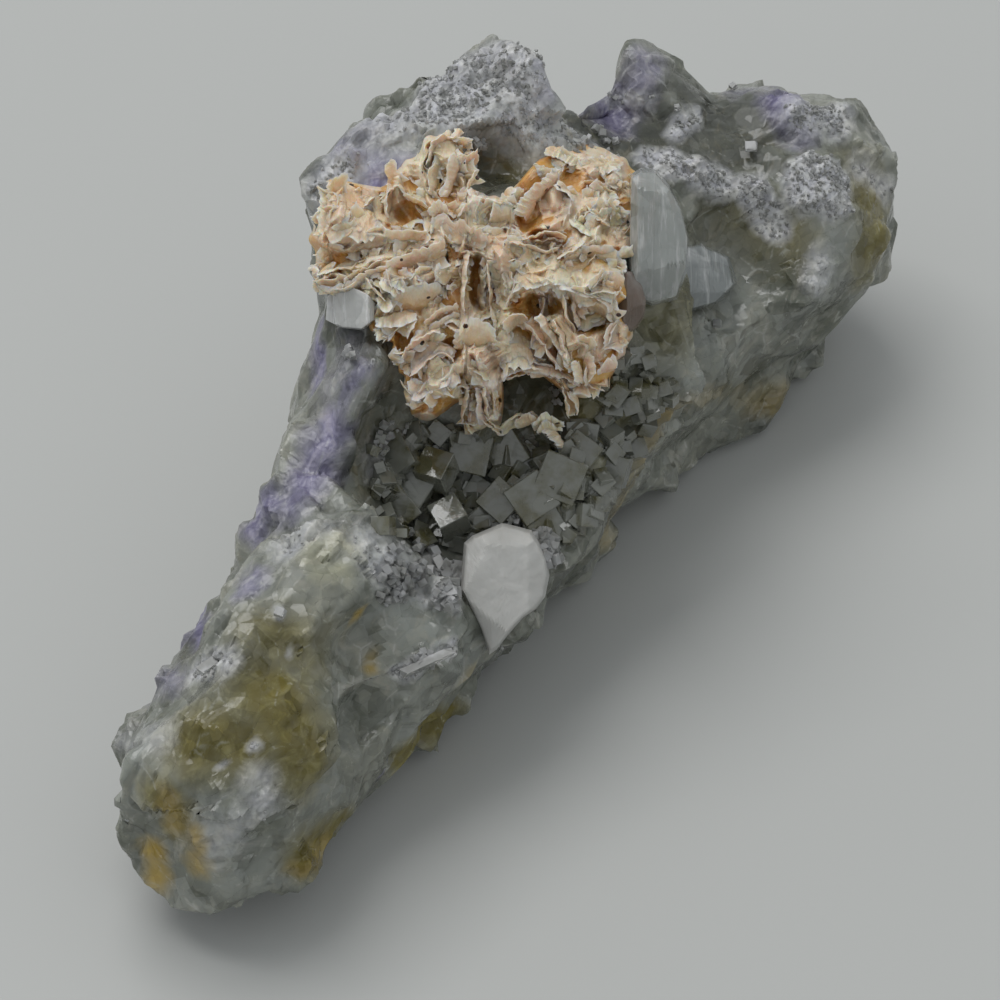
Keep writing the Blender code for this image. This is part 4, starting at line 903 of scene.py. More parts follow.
def bladeShell(rim, root, thick, number, step, look, start=0.0, narrow=0.0):
    # A ruled sheet from rim to root, bowed by curl * sin(pi v), rippled along its lines and given a thickness
    width = np.linalg.norm(np.diff(rim, axis=0), axis=1).sum()
    depth = np.linalg.norm(rim - root, axis=1).mean()
    across = max(7, int(width / (step * mm)))
    down = max(6, int(depth / (step * mm)))
    u = np.linspace(0, 1, across)[:, None] + np.zeros(down)
    v = np.zeros((across, 1)) + np.linspace(0, 1, down)
    seedPlace = np.stack([u * width / mm, v * depth / mm, v * 0 + 7.3 * number], -1)
    along = np.stack([u * width / mm, v * 0, v * 0 + 3.1 * number], -1)
    tooth = 0.5 + 0.5 * roughNoise(along / 1.3, 41)
    splinter = np.abs(smoothNoise(along / 0.5, 45)) * 0.7 * mm / depth
    chip = steepStep(roughNoise(along / 2.4, 57), 0.15, 0.5)
    v2 = v + (1 - v) * np.clip(start + look["ragged"] * (tooth + 1.2 * chip) + splinter, 0, 0.8)
    edgeways = np.stack([v * depth / mm, u * 0, u * 0 + 5.7 * number], -1)
    side = 0.08 * (0.5 + 0.5 * roughNoise(edgeways / 1.2, 63))
    side = side + np.abs(smoothNoise(edgeways / 0.5, 67)) * 0.4 * mm / width
    u2 = 0.5 + (u - 0.5) * (1 - 2 * np.clip(side + narrow, 0, 0.4))
    sheet = np.zeros((across, down, 3))
    for k in range(down):
        at = u2[:, k] * (len(rim) - 1)
        w = v2[:, k, None]
        sheet[:, k] = curveThrough(rim, at) * (1 - w) + curveThrough(root, at) * w
    normals = unit(np.cross(np.gradient(sheet, axis=0), np.gradient(sheet, axis=1)))
    bow = look["curl"] * mm * math.sin(2.4 * number) * np.sin(math.pi * v) * min(1, depth / (4 * mm))
    wave = mm * (0.5 * roughNoise(seedPlace / 2.4, 71) + 0.14 * roughNoise(seedPlace / 0.9, 73))
    striped = np.stack([u * width / (0.38 * mm), v * depth / (3 * mm), v * 0 + number], -1)
    lines = look["ripple"] * mm * smoothNoise(striped, 77)
    sheet = sheet + normals * (bow + wave + lines)[..., None]
    border = np.minimum(np.minimum(u, 1 - u) * width, v * depth) / mm
    swell = thick * mm * (0.15 + 0.85 * steepStep(border, 0, 0.8))
    front = sheet + normals * (swell * (0.45 + 0.3 * roughNoise(seedPlace / 0.8, 83)))[..., None]
    back = sheet - normals * (swell * 0.5)[..., None]
    points, faces = plate(front, back)
    # rim marks the sheet's edges for whitening (part paler barite, part painted highlight); down runs to the
    # root, where the amber painted shade deepens
    marks = {"rim": np.exp(-border / 0.35), "down": v, "across": u * width / mm, "along": v * depth / mm}
    marks = {k: np.concatenate([m.ravel()] * 2) for k, m in marks.items()}
    return points, faces, marks


def gatherShells(shells):
    # Joins shells, each with its points, faces and marks, into whole arrays
    points, faces, marks, start = [], [], {}, 0
    for some, quads, own in shells:
        points.append(some)
        faces.append(quads + start)
        for key, value in own.items():
            marks.setdefault(key, []).append(np.broadcast_to(value, (len(some),)))
        start += len(some)
    return np.concatenate(points), np.concatenate(faces), {k: np.concatenate(v) for k, v in marks.items()}


def bariteFinish():
    # Satin barite: cream clouds, pink or yellow tone, lines along each sheet, amber toward roots and in
    # hollows (part amber tint, part painted shade), pale rims (part paler barite, part painted highlight),
    # specks
    def build(w):
        place = w.place()
        cloud = w.noise(place, 330, 4, 0.55, 0.5)
        fine = w.noise(place, 1500, 4, 0.65)
        sheet = w.node("ShaderNodeCombineXYZ", {},
                       {0: w.mark("across") * 4.0, 1: w.mark("along") * 0.6, 2: w.mark("number")})
        lines = w.noise(sheet, 1.0, 3, 0.6, 0.25)
        tone = w.mark("tone")
        base = w.blend(cloud.step(0.3, 0.7), (0.640, 0.430, 0.260), (0.720, 0.640, 0.490))
        base = w.blend((tone * 0.9).clamped(), base, (0.680, 0.500, 0.420))
        base = w.blend((0 - tone).clamped() * 0.9, base, (0.740, 0.700, 0.480))
        base = w.blend(lines.step(0.5, 0.75) * 0.4, base, (0.750, 0.700, 0.610))
        # Amber toward each sheet's root and into hollows and creases: part amber tint, part painted shade
        deep = (w.mark("amber") * 0.7 + 0.3) * w.mark("down").step(0.05, 0.8)
        deep = (deep + (cloud - 0.5) * 0.7).clamped()
        amber = w.blend(cloud.step(0.35, 0.65), (0.520, 0.220, 0.022), (0.640, 0.380, 0.090))
        base = w.blend(deep * 0.95, base, amber)
        # Paler rims and fold crests: part paler barite, part painted highlight
        paleAndHighlight = (w.mark("rim") * 0.8 + (fine - 0.5) * 1.3).clamped()
        base = w.blend(paleAndHighlight * 0.75, base, (0.860, 0.840, 0.790))
        specks = w.cells(place, 430)
        base = w.blend(specks.maths("LESS_THAN", 0.11) * cloud.step(0.46, 0.5), base, (0.022, 0.014, 0.008))
        tilt = w.bump(lines, 0.25, 0.0004)
        tilt = w.bump(fine, 0.35, 0.0004, tilt)
        return {"Base Color": base, "Roughness": (0.30 + fine * 0.3).clamped(), "Normal": tilt}
    return newFinish("barite_satin", build, Subsurface_Weight=0.5, Subsurface_Radius=(1.0, 0.5, 0.22),
                     Subsurface_Scale=0.0012, IOR=1.64)


bariteLook = bariteFinish()


def tracedBlades():
    # A sheet for each traced blade, a second one beside the thin ones, varied by sines of the blade's number
    shells = []
    for number, (rim, root, thick, tone, amber) in enumerate(bladeShape["traced"]):
        rim, root = np.array(rim, float), np.array(root, float)
        at = np.linspace(0, 1, max(len(rim), len(root)))
        rim = onCluster(rim[:, 0], rim[:, 1], rim[:, 2])
        root = onCluster(root[:, 0], root[:, 1], root[:, 2])
        rim, root = [curveThrough(c, at * (len(c) - 1)) for c in (rim, root)]
        normal = unit(np.cross(rim[-1] - rim[0], root.mean(0) - rim.mean(0)))
        thick = thick * bladeShape["thin"]
        stack = [bladeShell(rim, root, thick, number + 1, bladeShape["step"], bladeShape["main"])]
        if thick <= bladeShape["layered"] * bladeShape["thin"]:
            shift, start, narrow = bladeShape["layer"]
            side = math.copysign(0.7 + 0.6 * abs(math.sin(number * 1.7)), math.sin(number * 5.1))
            away = normal * shift * mm * side
            lost = start * (0.6 + 0.8 * abs(math.sin(number * 2.3)))
            stack.append(bladeShell(rim + away, root + away * 0.4, thick * 0.8, number + 31.7,
                                    bladeShape["step"] * 1.15, bladeShape["main"], lost, narrow))
        for layer, (points, faces, marks) in enumerate(stack):
            marks.update(tone=tone + 0.25 * math.sin(number * 3.1 + layer * 2), amber=amber,
                         number=(number * 3.7 + layer * 1.9) % 50)
            shells.append((points, faces, marks))
    third = (len(shells) + 2) // 3
    for part, name in enumerate(("upper", "middle", "lower")):
        points, faces, marks = gatherShells(shells[part * third:(part + 1) * third])
        blades = putPiece("barite_blades_" + name, points, faces, bariteLook, marks)
        if part == 0:
            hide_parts("barite_blades")


# Small blades between the traced ones: places in the outline of the cluster, drawn from a fixed seed
flakeShape = {
    "seed": 7,
    "count": 420,
    "outline": [(318, 190), (345, 178), (380, 180), (400, 170), (425, 140), (450, 126), (478, 140),
                (470, 190), (505, 195), (540, 160), (560, 150), (600, 158), (634, 172), (632, 220),
                (628, 262), (622, 300), (628, 350), (605, 392), (575, 400), (560, 372), (500, 372),
                (498, 425), (465, 430), (462, 395), (418, 424), (402, 380), (392, 345), (368, 326),
                (376, 304), (345, 292), (318, 288), (316, 274), (320, 238)],
    "width": (0.9, 3.2),
    "height": (0.6, 1.8),
    "look": {"ragged": 0.3, "ripple": 0.06, "curl": 0.3},
}


# The ground between the blades: mounds (x, y, radius in pixels, height in mm) and hollows, painted amber
# (part amber tint, part painted shade)
groundShape = {
    "outline": [(322, 192), (345, 180), (378, 184), (402, 168), (425, 138), (450, 128), (463, 142),
                (466, 190), (486, 196), (505, 194), (520, 180), (540, 158), (560, 150), (600, 156),
                (634, 172), (633, 220), (630, 262), (626, 300), (628, 345), (612, 390), (580, 402),
                (562, 376), (530, 366), (503, 374), (500, 424), (465, 430), (462, 397), (418, 424),
                (402, 380), (392, 345), (368, 326), (376, 304), (345, 292), (318, 290), (313, 274),
                (316, 238), (320, 210)],
    "middle": (470.0, 285.0),
    "field": (290, 100, 660, 460),
    "lattice": 5,          # pixels between samples of the stone
    "riseRange": (-4, 6),  # mm, how far the stone may stand behind or before the mean surface
    "blur": 3.2,           # steps of two pixels
    "few": 1.2,            # how strongly the base height counts where there are few blades
    "base": 2.6,
    "under": 0.7,          # mm, how far the ground lies under the blades' mean height
    "mounds": [
        (335, 205, 20, 2.2), (345, 225, 22, 1.6), (330, 180, 16, 1.6), (395, 275, 22, 1.2),
        (500, 258, 14, 1.4), (545, 268, 20, 1.0), (600, 205, 18, 1.2), (470, 362, 14, 1.0),
        (430, 395, 16, 0.8), (445, 150, 12, 1.0),
    ],
    "hollows": [
        (347, 259, 15, 7, 2.6), (443, 261, 5, 12, 3.4), (478, 284, 8, 26, 3.4), (528, 214, 11, 17, 3.0),
        (575, 181, 14, 11, 2.6), (540, 236, 12, 6, 2.4), (535, 308, 25, 12, 3.6), (590, 324, 18, 10, 2.2),
        (452, 350, 11, 12, 2.4), (447, 408, 17, 10, 2.8), (466, 382, 8, 8, 2.2), (408, 214, 12, 12, 2.4),
        (405, 342, 9, 12, 3.6), (530, 395, 34, 20, 4.2), (525, 330, 14, 10, 2.0),
        (560, 345, 6, 12, 1.6), (548, 356, 5, 10, 1.6),
    ],
}


def bladeField():
    # The mean height of the traced blades' sheets near each place: their samples, blurred by a bell curve
    x0, y0, x1, y1 = groundShape["field"]
    total, weight = np.zeros((2, (y1 - y0) // 2 + 1, (x1 - x0) // 2 + 1))
    for rim, root, *rest in bladeShape["traced"]:
        at = np.linspace(0, 1, 40)
        rim, root = [curveThrough(np.array(c, float), at * (len(c) - 1)) for c in (rim, root)]
        for v in np.linspace(0.05, 1, 9):
            x, y, lift = (rim * (1 - v) + root * v).T
            cell = (np.clip((y - y0) / 2, 0, total.shape[0] - 1).astype(int),
                    np.clip((x - x0) / 2, 0, total.shape[1] - 1).astype(int))
            np.add.at(total, cell, lift)
            np.add.at(weight, cell, 1)
    bell = np.exp(-np.arange(-9, 10)**2 / (2 * groundShape["blur"]**2))
    for axis in (0, 1):
        total = np.apply_along_axis(np.convolve, axis, total, bell, "same")
        weight = np.apply_along_axis(np.convolve, axis, weight, bell, "same")
    few = groundShape["few"]
    return (total + few * groundShape["base"]) / (weight + few)


groundField = bladeField()


def stoneField():
    # How far the stone stands in front of the cluster's mean surface, in mm, on a lattice of photo places
    x0, y0, x1, y1 = groundShape["field"]
    pitch = groundShape["lattice"]
    xs, ys = np.meshgrid(np.arange(x0, x1 + 1, pitch), np.arange(y0, y1 + 1, pitch))
    mean = (onCluster(xs, ys, 0.0) - eye) @ forward
    return np.clip((mean - stoneFar(xs, ys)) / mm, *groundShape["riseRange"])


stoneRise = stoneField()


def onLattice(field, x, y, pitch):
    # The field at photo places, mixed from the four lattice points around each
    x0, y0 = groundShape["field"][:2]
    column = np.clip((x - x0) / pitch, 0, field.shape[1] - 1.001)
    row = np.clip((y - y0) / pitch, 0, field.shape[0] - 1.001)
    i, j = row.astype(int), column.astype(int)
    p, q = row - i, column - j
    return (field[i, j] * (1 - p) * (1 - q) + field[i + 1, j] * p * (1 - q)
            + field[i, j + 1] * (1 - p) * q + field[i + 1, j + 1] * p * q)


def groundHeight(x, y):
    # Height in mm over the cluster's mean surface, and how much of a hollow a place is
    flat = np.stack([x, y, y * 0.0], -1)
    stone = onLattice(stoneRise, x, y, groundShape["lattice"])
    height = np.maximum(onLattice(groundField, x, y, 2) - groundShape["under"], stone + 0.9)
    wobble = 1 + 0.25 * roughNoise(flat / 9, 92)
    for mx, my, radius, high in groundShape["mounds"]:
        height = height + high * np.clip(1 - (np.hypot(x - mx, y - my) / radius * wobble)**2, 0, 1) ** 0.8
    hollow = x * 0.0
    for mx, my, wide, tall, deep in groundShape["hollows"]:
        dip = np.clip(1.15 - np.hypot((x - mx) / wide, (y - my) / tall) * wobble, 0, 1) ** 0.6
        height = height - deep * np.clip(dip * 1.4, 0, 1) * 0.8
        hollow = np.maximum(hollow, dip)
    return np.maximum(height, stone + 0.5), hollow


def insideOutline(x, y, outline):
    # Even-odd rule: how many sides of the outline a line to the right crosses
    inside = np.zeros(np.shape(x), bool)
    for (x0, y0), (x1, y1) in zip(outline, outline[1:] + outline[:1]):
        crosses = (y0 > y) != (y1 > y)
        inside ^= crosses & (x < (x1 - x0) * (y - y0) / (y1 - y0 + 1e-9) + x0)
    return inside


def smallBlades():
    # Small sheets at seeded places inside the outline, not in hollows: random width, height, turn and lean
    draw = np.random.RandomState(flakeShape["seed"])
    x0, y0, x1, y1 = bladeShape["area"]
    shells = []
    while len(shells) < flakeShape["count"]:
        x, y = draw.uniform(x0, x1), draw.uniform(y0, y1)
        ground, hollow = groundHeight(np.array(x), np.array(y))
        if not insideOutline(x, y, flakeShape["outline"]) or hollow > 0.25:
            continue
        width, height = draw.uniform(*flakeShape["width"]), draw.uniform(*flakeShape["height"])
        foot = onCluster(x, y, ground + draw.uniform(-0.3, 0.4))
        turn, lean = draw.uniform(0, 2 * math.pi), draw.uniform(0.15, 1.25)
        along = rightward * math.cos(turn) + upward * math.sin(turn)
        sideways = upward * math.cos(turn) - rightward * math.sin(turn)
        rise = -forward * math.cos(lean) + sideways * math.sin(lean)
        at = np.linspace(-0.5, 0.5, 4)[:, None]
        bend = 0.25 * height * mm * np.sin(3 * at + turn) * sideways
        rim = foot + along * at * width * mm + rise * height * mm * (1 - 0.5 * at**2) + bend
        root = foot + along * at * width * 0.8 * mm - rise * 0.8 * mm
        points, faces, marks = bladeShell(rim, root, draw.uniform(0.2, 0.45), len(shells) + 100.5, 0.34,
                                          flakeShape["look"])
        marks.update(tone=draw.uniform(-0.6, 0.7), amber=draw.uniform(0.0, 0.4), number=draw.uniform(0, 50))
        shells.append((points, faces, marks))
    points, faces, marks = gatherShells(shells)
    putPiece("barite_flakes", points, faces, bariteLook, marks)


def creases(flat, seed):
    # Crumpled folds: 1 - |noise| of three sizes, bent by a slower noise: thin ridges between bowls
    slow = np.stack([roughNoise(flat / 1.6, seed + k) for k in range(3)], -1)
    bent = flat + 1.1 * slow * np.array((1, 1, 0))
    total = 0
    for octave, (size, share) in enumerate(((1.0, 0.5), (0.45, 0.32), (0.22, 0.18))):
        total = total + share * (1 - np.abs(smoothNoise(bent / size, seed + 5 + octave)) * 2.4)
    return total


def bariteBed():
    # The crumpled ground between the blades: rings from the cluster's middle to its outline, then under it
    outline = np.array(groundShape["outline"], float)
    middle = np.array(groundShape["middle"])
    angle = np.arctan2(*(outline - middle).T[::-1])
    order = np.argsort(angle)
    turn = np.linspace(-math.pi, math.pi, 500)[:-1]
    radius = np.linalg.norm(outline - middle, axis=1)
    reach = np.interp(turn, angle[order], radius[order], period=2 * math.pi)
    reach = reach * (1 + 0.05 * smoothNoise(np.stack([np.cos(turn), np.sin(turn), turn * 0], -1) * 14, 44))
    share = np.linspace(0.004, 1.03, 190)[None] ** 0.75
    xs = middle[0] + np.cos(turn)[:, None] * reach[:, None] * share
    ys = middle[1] + np.sin(turn)[:, None] * reach[:, None] * share
    flat = np.stack([xs, ys, ys * 0], -1)
    height, hollow = groundHeight(xs, ys)
    folds = creases(flat / 30, 95)
    dip = steepStep(share, 0.955, 1.03)
    relief = 1.5 * folds * (1 - 0.85 * hollow) + 0.25 * (grainNoise(flat / 5, 97) - 0.5)
    lift = -3.4 * dip + (1 - dip) * height + (1 - 0.5 * dip) * np.maximum(relief, -0.35)
    front = onCluster(xs, ys, lift)
    deep = onCluster(middle[0], middle[1], -6.0)
    points, faces = closedRings(front.swapaxes(0, 1), front[:, 0].mean(0), deep)
    # Fold crests are marked rim for a painted highlight; creases and hollows are marked down for amber
    # painted shade
    marks = {"rim": steepStep(folds, 0.45, 0.95) * 0.9,
             "down": np.clip(hollow * 1.4 + steepStep(0.3 - folds, 0, 0.8), 0, 1),
             "tone": 0.7 * roughNoise(flat / 30, 99), "amber": height * 0 + 1.0, "across": xs * 0.098,
             "along": ys * 0.03, "number": height * 0 + 3.0}
    marks = {k: np.concatenate([v.T.ravel(), v[:1, 0], v[:1, 0]]) for k, v in marks.items()}
    putPiece("barite_ground", points, faces, bariteLook, marks)


tracedBlades()
smallBlades()
bariteBed()


def hullShape(points):
    # The convex hull of a few points, as arrays of points and triangles that face outwards
    work = bmesh.new()
    for point in points:
        work.verts.new(point)
    made = bmesh.ops.convex_hull(work, input=work.verts)
    bmesh.ops.delete(work, geom=[g for g in made["geom_interior"] if isinstance(g, bmesh.types.BMVert)],
                     context="VERTS")
    bmesh.ops.recalc_face_normals(work, faces=work.faces)
    work.verts.index_update()
    corners = np.array([v.co[:] for v in work.verts])
    faces = np.array([[v.index for v in f.verts] for f in work.faces])
    work.free()
    return corners, faces


def bevelledBox(bevel):
    # Every mix of one full side and two sides short by the bevel
    points = []
    for signs in np.ndindex(2, 2, 2):
        sign = np.array(signs) * 2 - 1
        for axis in range(3):
            reach = np.full(3, 1 - bevel)
            reach[axis] = 1
            points.append(sign * reach)
    return hullShape(points)


def turned(draw, count):
    # Random rotation matrices from unit quaternions
    q = unit(draw.normal(size=(count, 4)))
    w, x, y, z = q.T
    return np.stack([1 - 2 * (y * y + z * z), 2 * (x * y - w * z), 2 * (x * z + w * y),
                     2 * (x * y + w * z), 1 - 2 * (x * x + z * z), 2 * (y * z - w * x),
                     2 * (x * z - w * y), 2 * (y * z + w * x), 1 - 2 * (x * x + y * y)], -1).reshape(-1, 3, 3)


def manyShapes(shape, places, turns, sizes):
    # One shape at many places: each turned, sized along its own axes and moved
    corners, faces = shape
    points = np.einsum("nij,nkj->nki", turns, corners[None] * sizes[:, None, :]) + places[:, None, :]
    quads = faces[None] + (np.arange(len(places)) * len(corners))[:, None, None]
    return points.reshape(-1, 3), quads.reshape(-1, faces.shape[1])


def facing(normal, x, y):
    # A rotation whose third axis is the normal, and whose first axis runs along (x, y) in the photograph
    normal = unit(np.array(normal, float))
    flat = rightward * x - upward * y
    along = unit(flat - forward * (flat @ normal) / (forward @ normal))
    return np.stack([along, np.cross(normal, along), normal], 1)


# Fluorite cubes in the hollow: x, y, edge and lift in mm, facing, photo direction of an edge; then small ones
cubeShape = {
    "seed": 4,
    "placed": [
        (447, 510, 3.1, 4.2, (-0.28, -0.04, 0.96), (29, -15)),
        (433, 462, 3.2, 4.0, (-0.30, -0.02, 0.95), (11, -22)),
        (408, 484, 4.6, 1.6, (-0.55, -0.25, 0.80), (20, 12)),
        (470, 452, 4.2, 1.8, (-0.40, -0.62, 0.68), (25, 6)),
        (505, 452, 3.8, 1.2, (-0.72, -0.30, 0.62), (22, -14)),
        (532, 498, 4.2, 1.6, (-0.45, -0.45, 0.77), (26, -18)),
        (500, 500, 3.6, 1.4, (-0.50, -0.30, 0.81), (18, 16)),
        (560, 478, 4.4, 1.4, (-0.62, -0.42, 0.66), (24, 10)),
        (548, 528, 3.6, 0.3, (-0.35, -0.60, 0.72), (20, -12)),
        (390, 455, 4.0, 0.2, (-0.70, -0.10, 0.70), (12, 22)),
        (478, 490, 2.6, 0.7, (-0.42, -0.28, 0.86), (20, 12)),
        (420, 520, 3.4, 0.2, (-0.30, -0.50, 0.81), (22, -8)),
        (580, 452, 3.4, 0.4, (-0.60, -0.30, 0.74), (18, 14)),
        (526, 462, 3.0, 0.5, (-0.36, -0.40, 0.84), (16, -18)),
        (490, 530, 3.2, 0.2, (-0.52, -0.50, 0.69), (24, -4)),
        (590, 500, 3.4, 0.3, (-0.50, -0.60, 0.62), (14, -22)),
        (455, 480, 2.8, 0.3, (-0.20, -0.55, 0.81), (20, 10)),
        (395, 510, 3.8, 0.1, (-0.60, -0.45, 0.66), (20, -16)),
        (610, 470, 3.2, 0.3, (-0.66, -0.35, 0.66), (20, 6)),
    ],
    "small": 330,
    "outline": [(372, 440), (400, 430), (440, 430), (500, 425), (560, 430), (596, 420), (600, 362),
                (640, 352), (676, 372), (672, 410), (640, 450), (610, 500), (575, 545), (545, 530),
                (500, 528), (470, 540), (430, 545), (385, 530), (366, 490)],
    "edge": (0.6, 2.0),
    "bevel": 0.05,
}


def hollowCubes():
    # The placed cubes, sunk by half an edge, then small ones at seeded places inside the outline
    draw = np.random.RandomState(cubeShape["seed"])
    places, turns, sizes = [], [], []
    for x, y, edge, lift, normal, along in cubeShape["placed"]:
        turn = facing(normal, *along)
        places.append(onStone(x, y, lift) - turn[:, 2] * edge * 0.5 * mm)
        turns.append(turn)
        sizes.append(np.array([1, 1, 1]) * edge * 0.5 * mm)
    outline = np.array(cubeShape["outline"], float)
    low, high = outline.min(0), outline.max(0)
    rotations = turned(draw, 4000)
    tries = 0
    while len(places) < len(cubeShape["placed"]) + cubeShape["small"]:
        x, y = draw.uniform(low[0], high[0]), draw.uniform(low[1], high[1])
        tries += 1
        if not insideOutline(x, y, cubeShape["outline"]):
            continue
        edge = draw.uniform(*cubeShape["edge"])
        places.append(onStone(x, y, draw.uniform(-0.5, 0.25)))
        turns.append(rotations[tries])
        sizes.append(draw.uniform(0.8, 1.2, 3) * edge * 0.5 * mm)
    box = bevelledBox(cubeShape["bevel"])
    points, faces = manyShapes(box, np.array(places), np.array(turns), np.array(sizes))
    cubes = putPiece("hollow_cubes", points, faces, cubeFinish())
    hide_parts("hollow_crust")


def cubeFinish():
    # Grey to olive glass with a polished coat and stepped faces
    def build(w):
        place = w.place()
        cloud = w.noise(place, 420, 3, 0.5)
        steps = w.noise(place.stretched((1, 1, 6)), 700, 2, 0.5)
        tilt = w.bump(w.facets(place, 500, 0.35), 1.0, 1.0)
        tilt = w.bump(steps, 0.15, 0.0003, tilt)
        base = w.blend(cloud.step(0.4, 0.7), (0.250, 0.255, 0.215), (0.130, 0.120, 0.050))
        return {"Base Color": base, "Roughness": 0.03 + cloud.step(0.5, 0.75) * 0.15, "Normal": tilt}
    return newFinish("cube_glass", build, Transmission_Weight=0.45, IOR=1.45, Coat_Weight=1.0,
                     Coat_Roughness=0.02, absorb=((0.55, 0.58, 0.48), 120.0))


def frontPlane(name, x, y, reach=6, steepest=0.11):
    # The distance along the view to a solid's front face, as a plane over photo places, of limited slope
    tree = nodeTree(name)
    rows = []
    for dx, dy in ((0, 0), (1, 0), (-1, 0), (0, 1), (0, -1), (1, 1), (-1, -1)):
        dx, dy = dx * reach, dy * reach
        line = unit(sightLine(x + dx, y + dy))
        hit = tree.ray_cast(Vector(eye), Vector(line))[0]
        if hit is not None:
            rows.append((1, x + dx, y + dy, (np.array(hit) - eye) @ forward))
    rows = np.array(rows)
    fit = np.linalg.lstsq(rows[:, :3], rows[:, 3], rcond=None)[0]
    slopes = np.clip(fit[1:], -steepest * mm, steepest * mm)
    return np.concatenate([[rows[:, 3].mean() - rows[:, 1:3].mean(0) @ slopes], slopes])


def slab(name, node, outline, middle, depth, rounding, relief, finish, raised=0.0, facets=()):
    # Rings from the middle of the front face to its rim, round the edge, down the side, to the back's middle
    plane = frontPlane(node, *middle)
    outline = np.array(outline, float)
    corners = len(outline)
    perSide, taper = 8, 0.06
    at = np.arange(perSide * corners) / perSide
    start = np.floor(at).astype(int)
    share = (at - start)[:, None]
    straight = outline[start % corners] * (1 - share) + outline[(start + 1) % corners] * share
    curved = curveThrough(outline, at, closed=True)
    ring = straight * (1 - rounding) + curved * rounding
    centre = outline.mean(0)
    steps = [(s, 0.0) for s in np.linspace(0.04, 0.93, 12)] + [(0.975, 0.02), (1.0, 0.10), (1.005, 0.22)]
    steps += [(1.0 + taper * t, 0.22 + 0.78 * t) for t in np.linspace(0.12, 0.9, 6)]
    steps += [(1.0 + taper * 0.8, 0.98), (0.9, 1.0), (0.5, 1.0), (0.05, 1.0)]
    scale = np.array([s for s, _ in steps])[:, None, None]
    sink = np.array([d for _, d in steps])[:, None]
    place = centre + (ring - centre) * scale
    far = plane[0] + plane[1] * place[..., 0] + plane[2] * place[..., 1] - raised * mm
    photo = np.stack([place[..., 0], place[..., 1], place[..., 0] * 0], -1)
    rough = relief * mm * roughNoise(photo / 12, 17)
    cut = rough * 0
    for x, y, slopeX, slopeY in facets:
        cut = np.maximum(cut, ((place[..., 0] - x) * slopeX + (place[..., 1] - y) * slopeY) * mm)
    far = far + sink * depth * mm + (rough + cut) * (1 - sink)
    points = eye + sightLine(place[..., 0], place[..., 1]) / cameraLook["reach"] * far[..., None]
    points, faces = closedRings(points, points[0].mean(0), points[-1].mean(0))
    made = putPiece(name, points, faces, finish)
    if node != "fluorite_stone":
        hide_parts(node)


def calciteFinish():
    # Pale matte cleavage, a little grainy
    def build(w):
        place = w.place()
        cloud = w.noise(place, 260, 3, 0.5)
        fine = w.noise(place, 1800, 4, 0.6)
        base = w.blend(cloud.step(0.35, 0.7), (0.375, 0.370, 0.350), (0.430, 0.425, 0.405))
        base = w.blend(fine.step(0.62, 0.72) * 0.4, base, (0.31, 0.30, 0.28))
        return {"Base Color": base, "Roughness": 0.42 + cloud * 0.15, "Normal": w.bump(fine, 0.12, 0.0002)}
    return newFinish("calcite_matte", build, Subsurface_Weight=0.5, Subsurface_Radius=(1.0, 0.95, 0.9),
                     Subsurface_Scale=0.0016, IOR=1.5)


def clearFinish(name, tint, roughness, absorb, veil, mist, through):
    # See-through: transmission, IOR and absorption, with white veils and upright streaks in a milky body
    def build(w):
        place = w.place()
        right = w.vectors("DOT_PRODUCT", place, tuple(rightward), 1)
        up = w.vectors("DOT_PRODUCT", place, tuple(upward), 1)
        upright = w.node("ShaderNodeCombineXYZ", {}, {0: right * 1.0, 1: up * 0.09})
        streaks = w.noise(upright, 1300, 4, 0.65)
        cloud = w.noise(place, 300, 3, 0.55, 0.8)
        milk = (streaks.step(0.52, 0.68) * veil + cloud.step(0.5, 0.7) * veil * 0.6).clamped()
        base = w.blend(milk, tint, (0.80, 0.80, 0.79))
        tilt = w.bump(w.facets(place, 330, 0.35), 1.0, 1.0)
        return {"Base Color": base, "Roughness": roughness + streaks.step(0.55, 0.8) * mist,
                "Normal": w.bump(streaks, 0.5, 0.0005, tilt)}
    return newFinish(name, build, Transmission_Weight=through, IOR=1.46, Subsurface_Weight=0.3,
                     Subsurface_Radius=(1.0, 1.0, 0.95), Subsurface_Scale=0.0012, absorb=absorb)


slab("calcite_face", "calcite_crystal",
     [(466, 545), (474, 538), (488, 532), (502, 526), (516, 529), (530, 533), (538, 545), (545, 560),
      (547, 576), (543, 596), (534, 608), (522, 617), (508, 632), (497, 646), (490, 651), (485, 638),
      (480, 625), (470, 606), (462, 590),
      (464, 568)], (505, 575), 4.6, 0.0, 0.14, calciteFinish(),
     facets=[(482, 556, -0.06, -0.03), (528, 580, 0.05, 0.0), (505, 545, 0.0, -0.07),
             (492, 620, -0.05, 0.06)])
slab("clear_block", "clear_crystal",
     [(631, 178), (642, 171), (656, 173), (669, 188), (680, 208), (687, 238), (686, 268), (676, 296),
      (652, 303), (634, 298), (629, 262), (630, 215)], (658, 235), 8.0, 0.06, 0.12,
     clearFinish("clear_glass", (0.46, 0.48, 0.46), 0.06, ((0.80, 0.83, 0.82), 50.0), 0.75, 0.3, 0.5),
     raised=0.9,
     facets=[(638, 0, -0.22, 0), (670, 205, 0.16, -0.05), (650, 190, 0.03, -0.14), (660, 268, 0.02, 0.09)])
slab("grey_block", "fluorite_stone",
     [(648, 268), (666, 252), (700, 245), (727, 258), (735, 283), (716, 302), (680, 312), (652, 304)],
     (692, 280), 6.0, 0.10, 0.2,
     clearFinish("grey_glass", (0.25, 0.27, 0.265), 0.10, ((0.75, 0.79, 0.79), 60.0), 0.4, 0.3, 0.4),
     raised=1.6,
     facets=[(668, 0, -0.05, 0), (706, 0, 0.08, -0.01), (0, 292, 0, 0.12), (0, 262, 0, -0.07)])
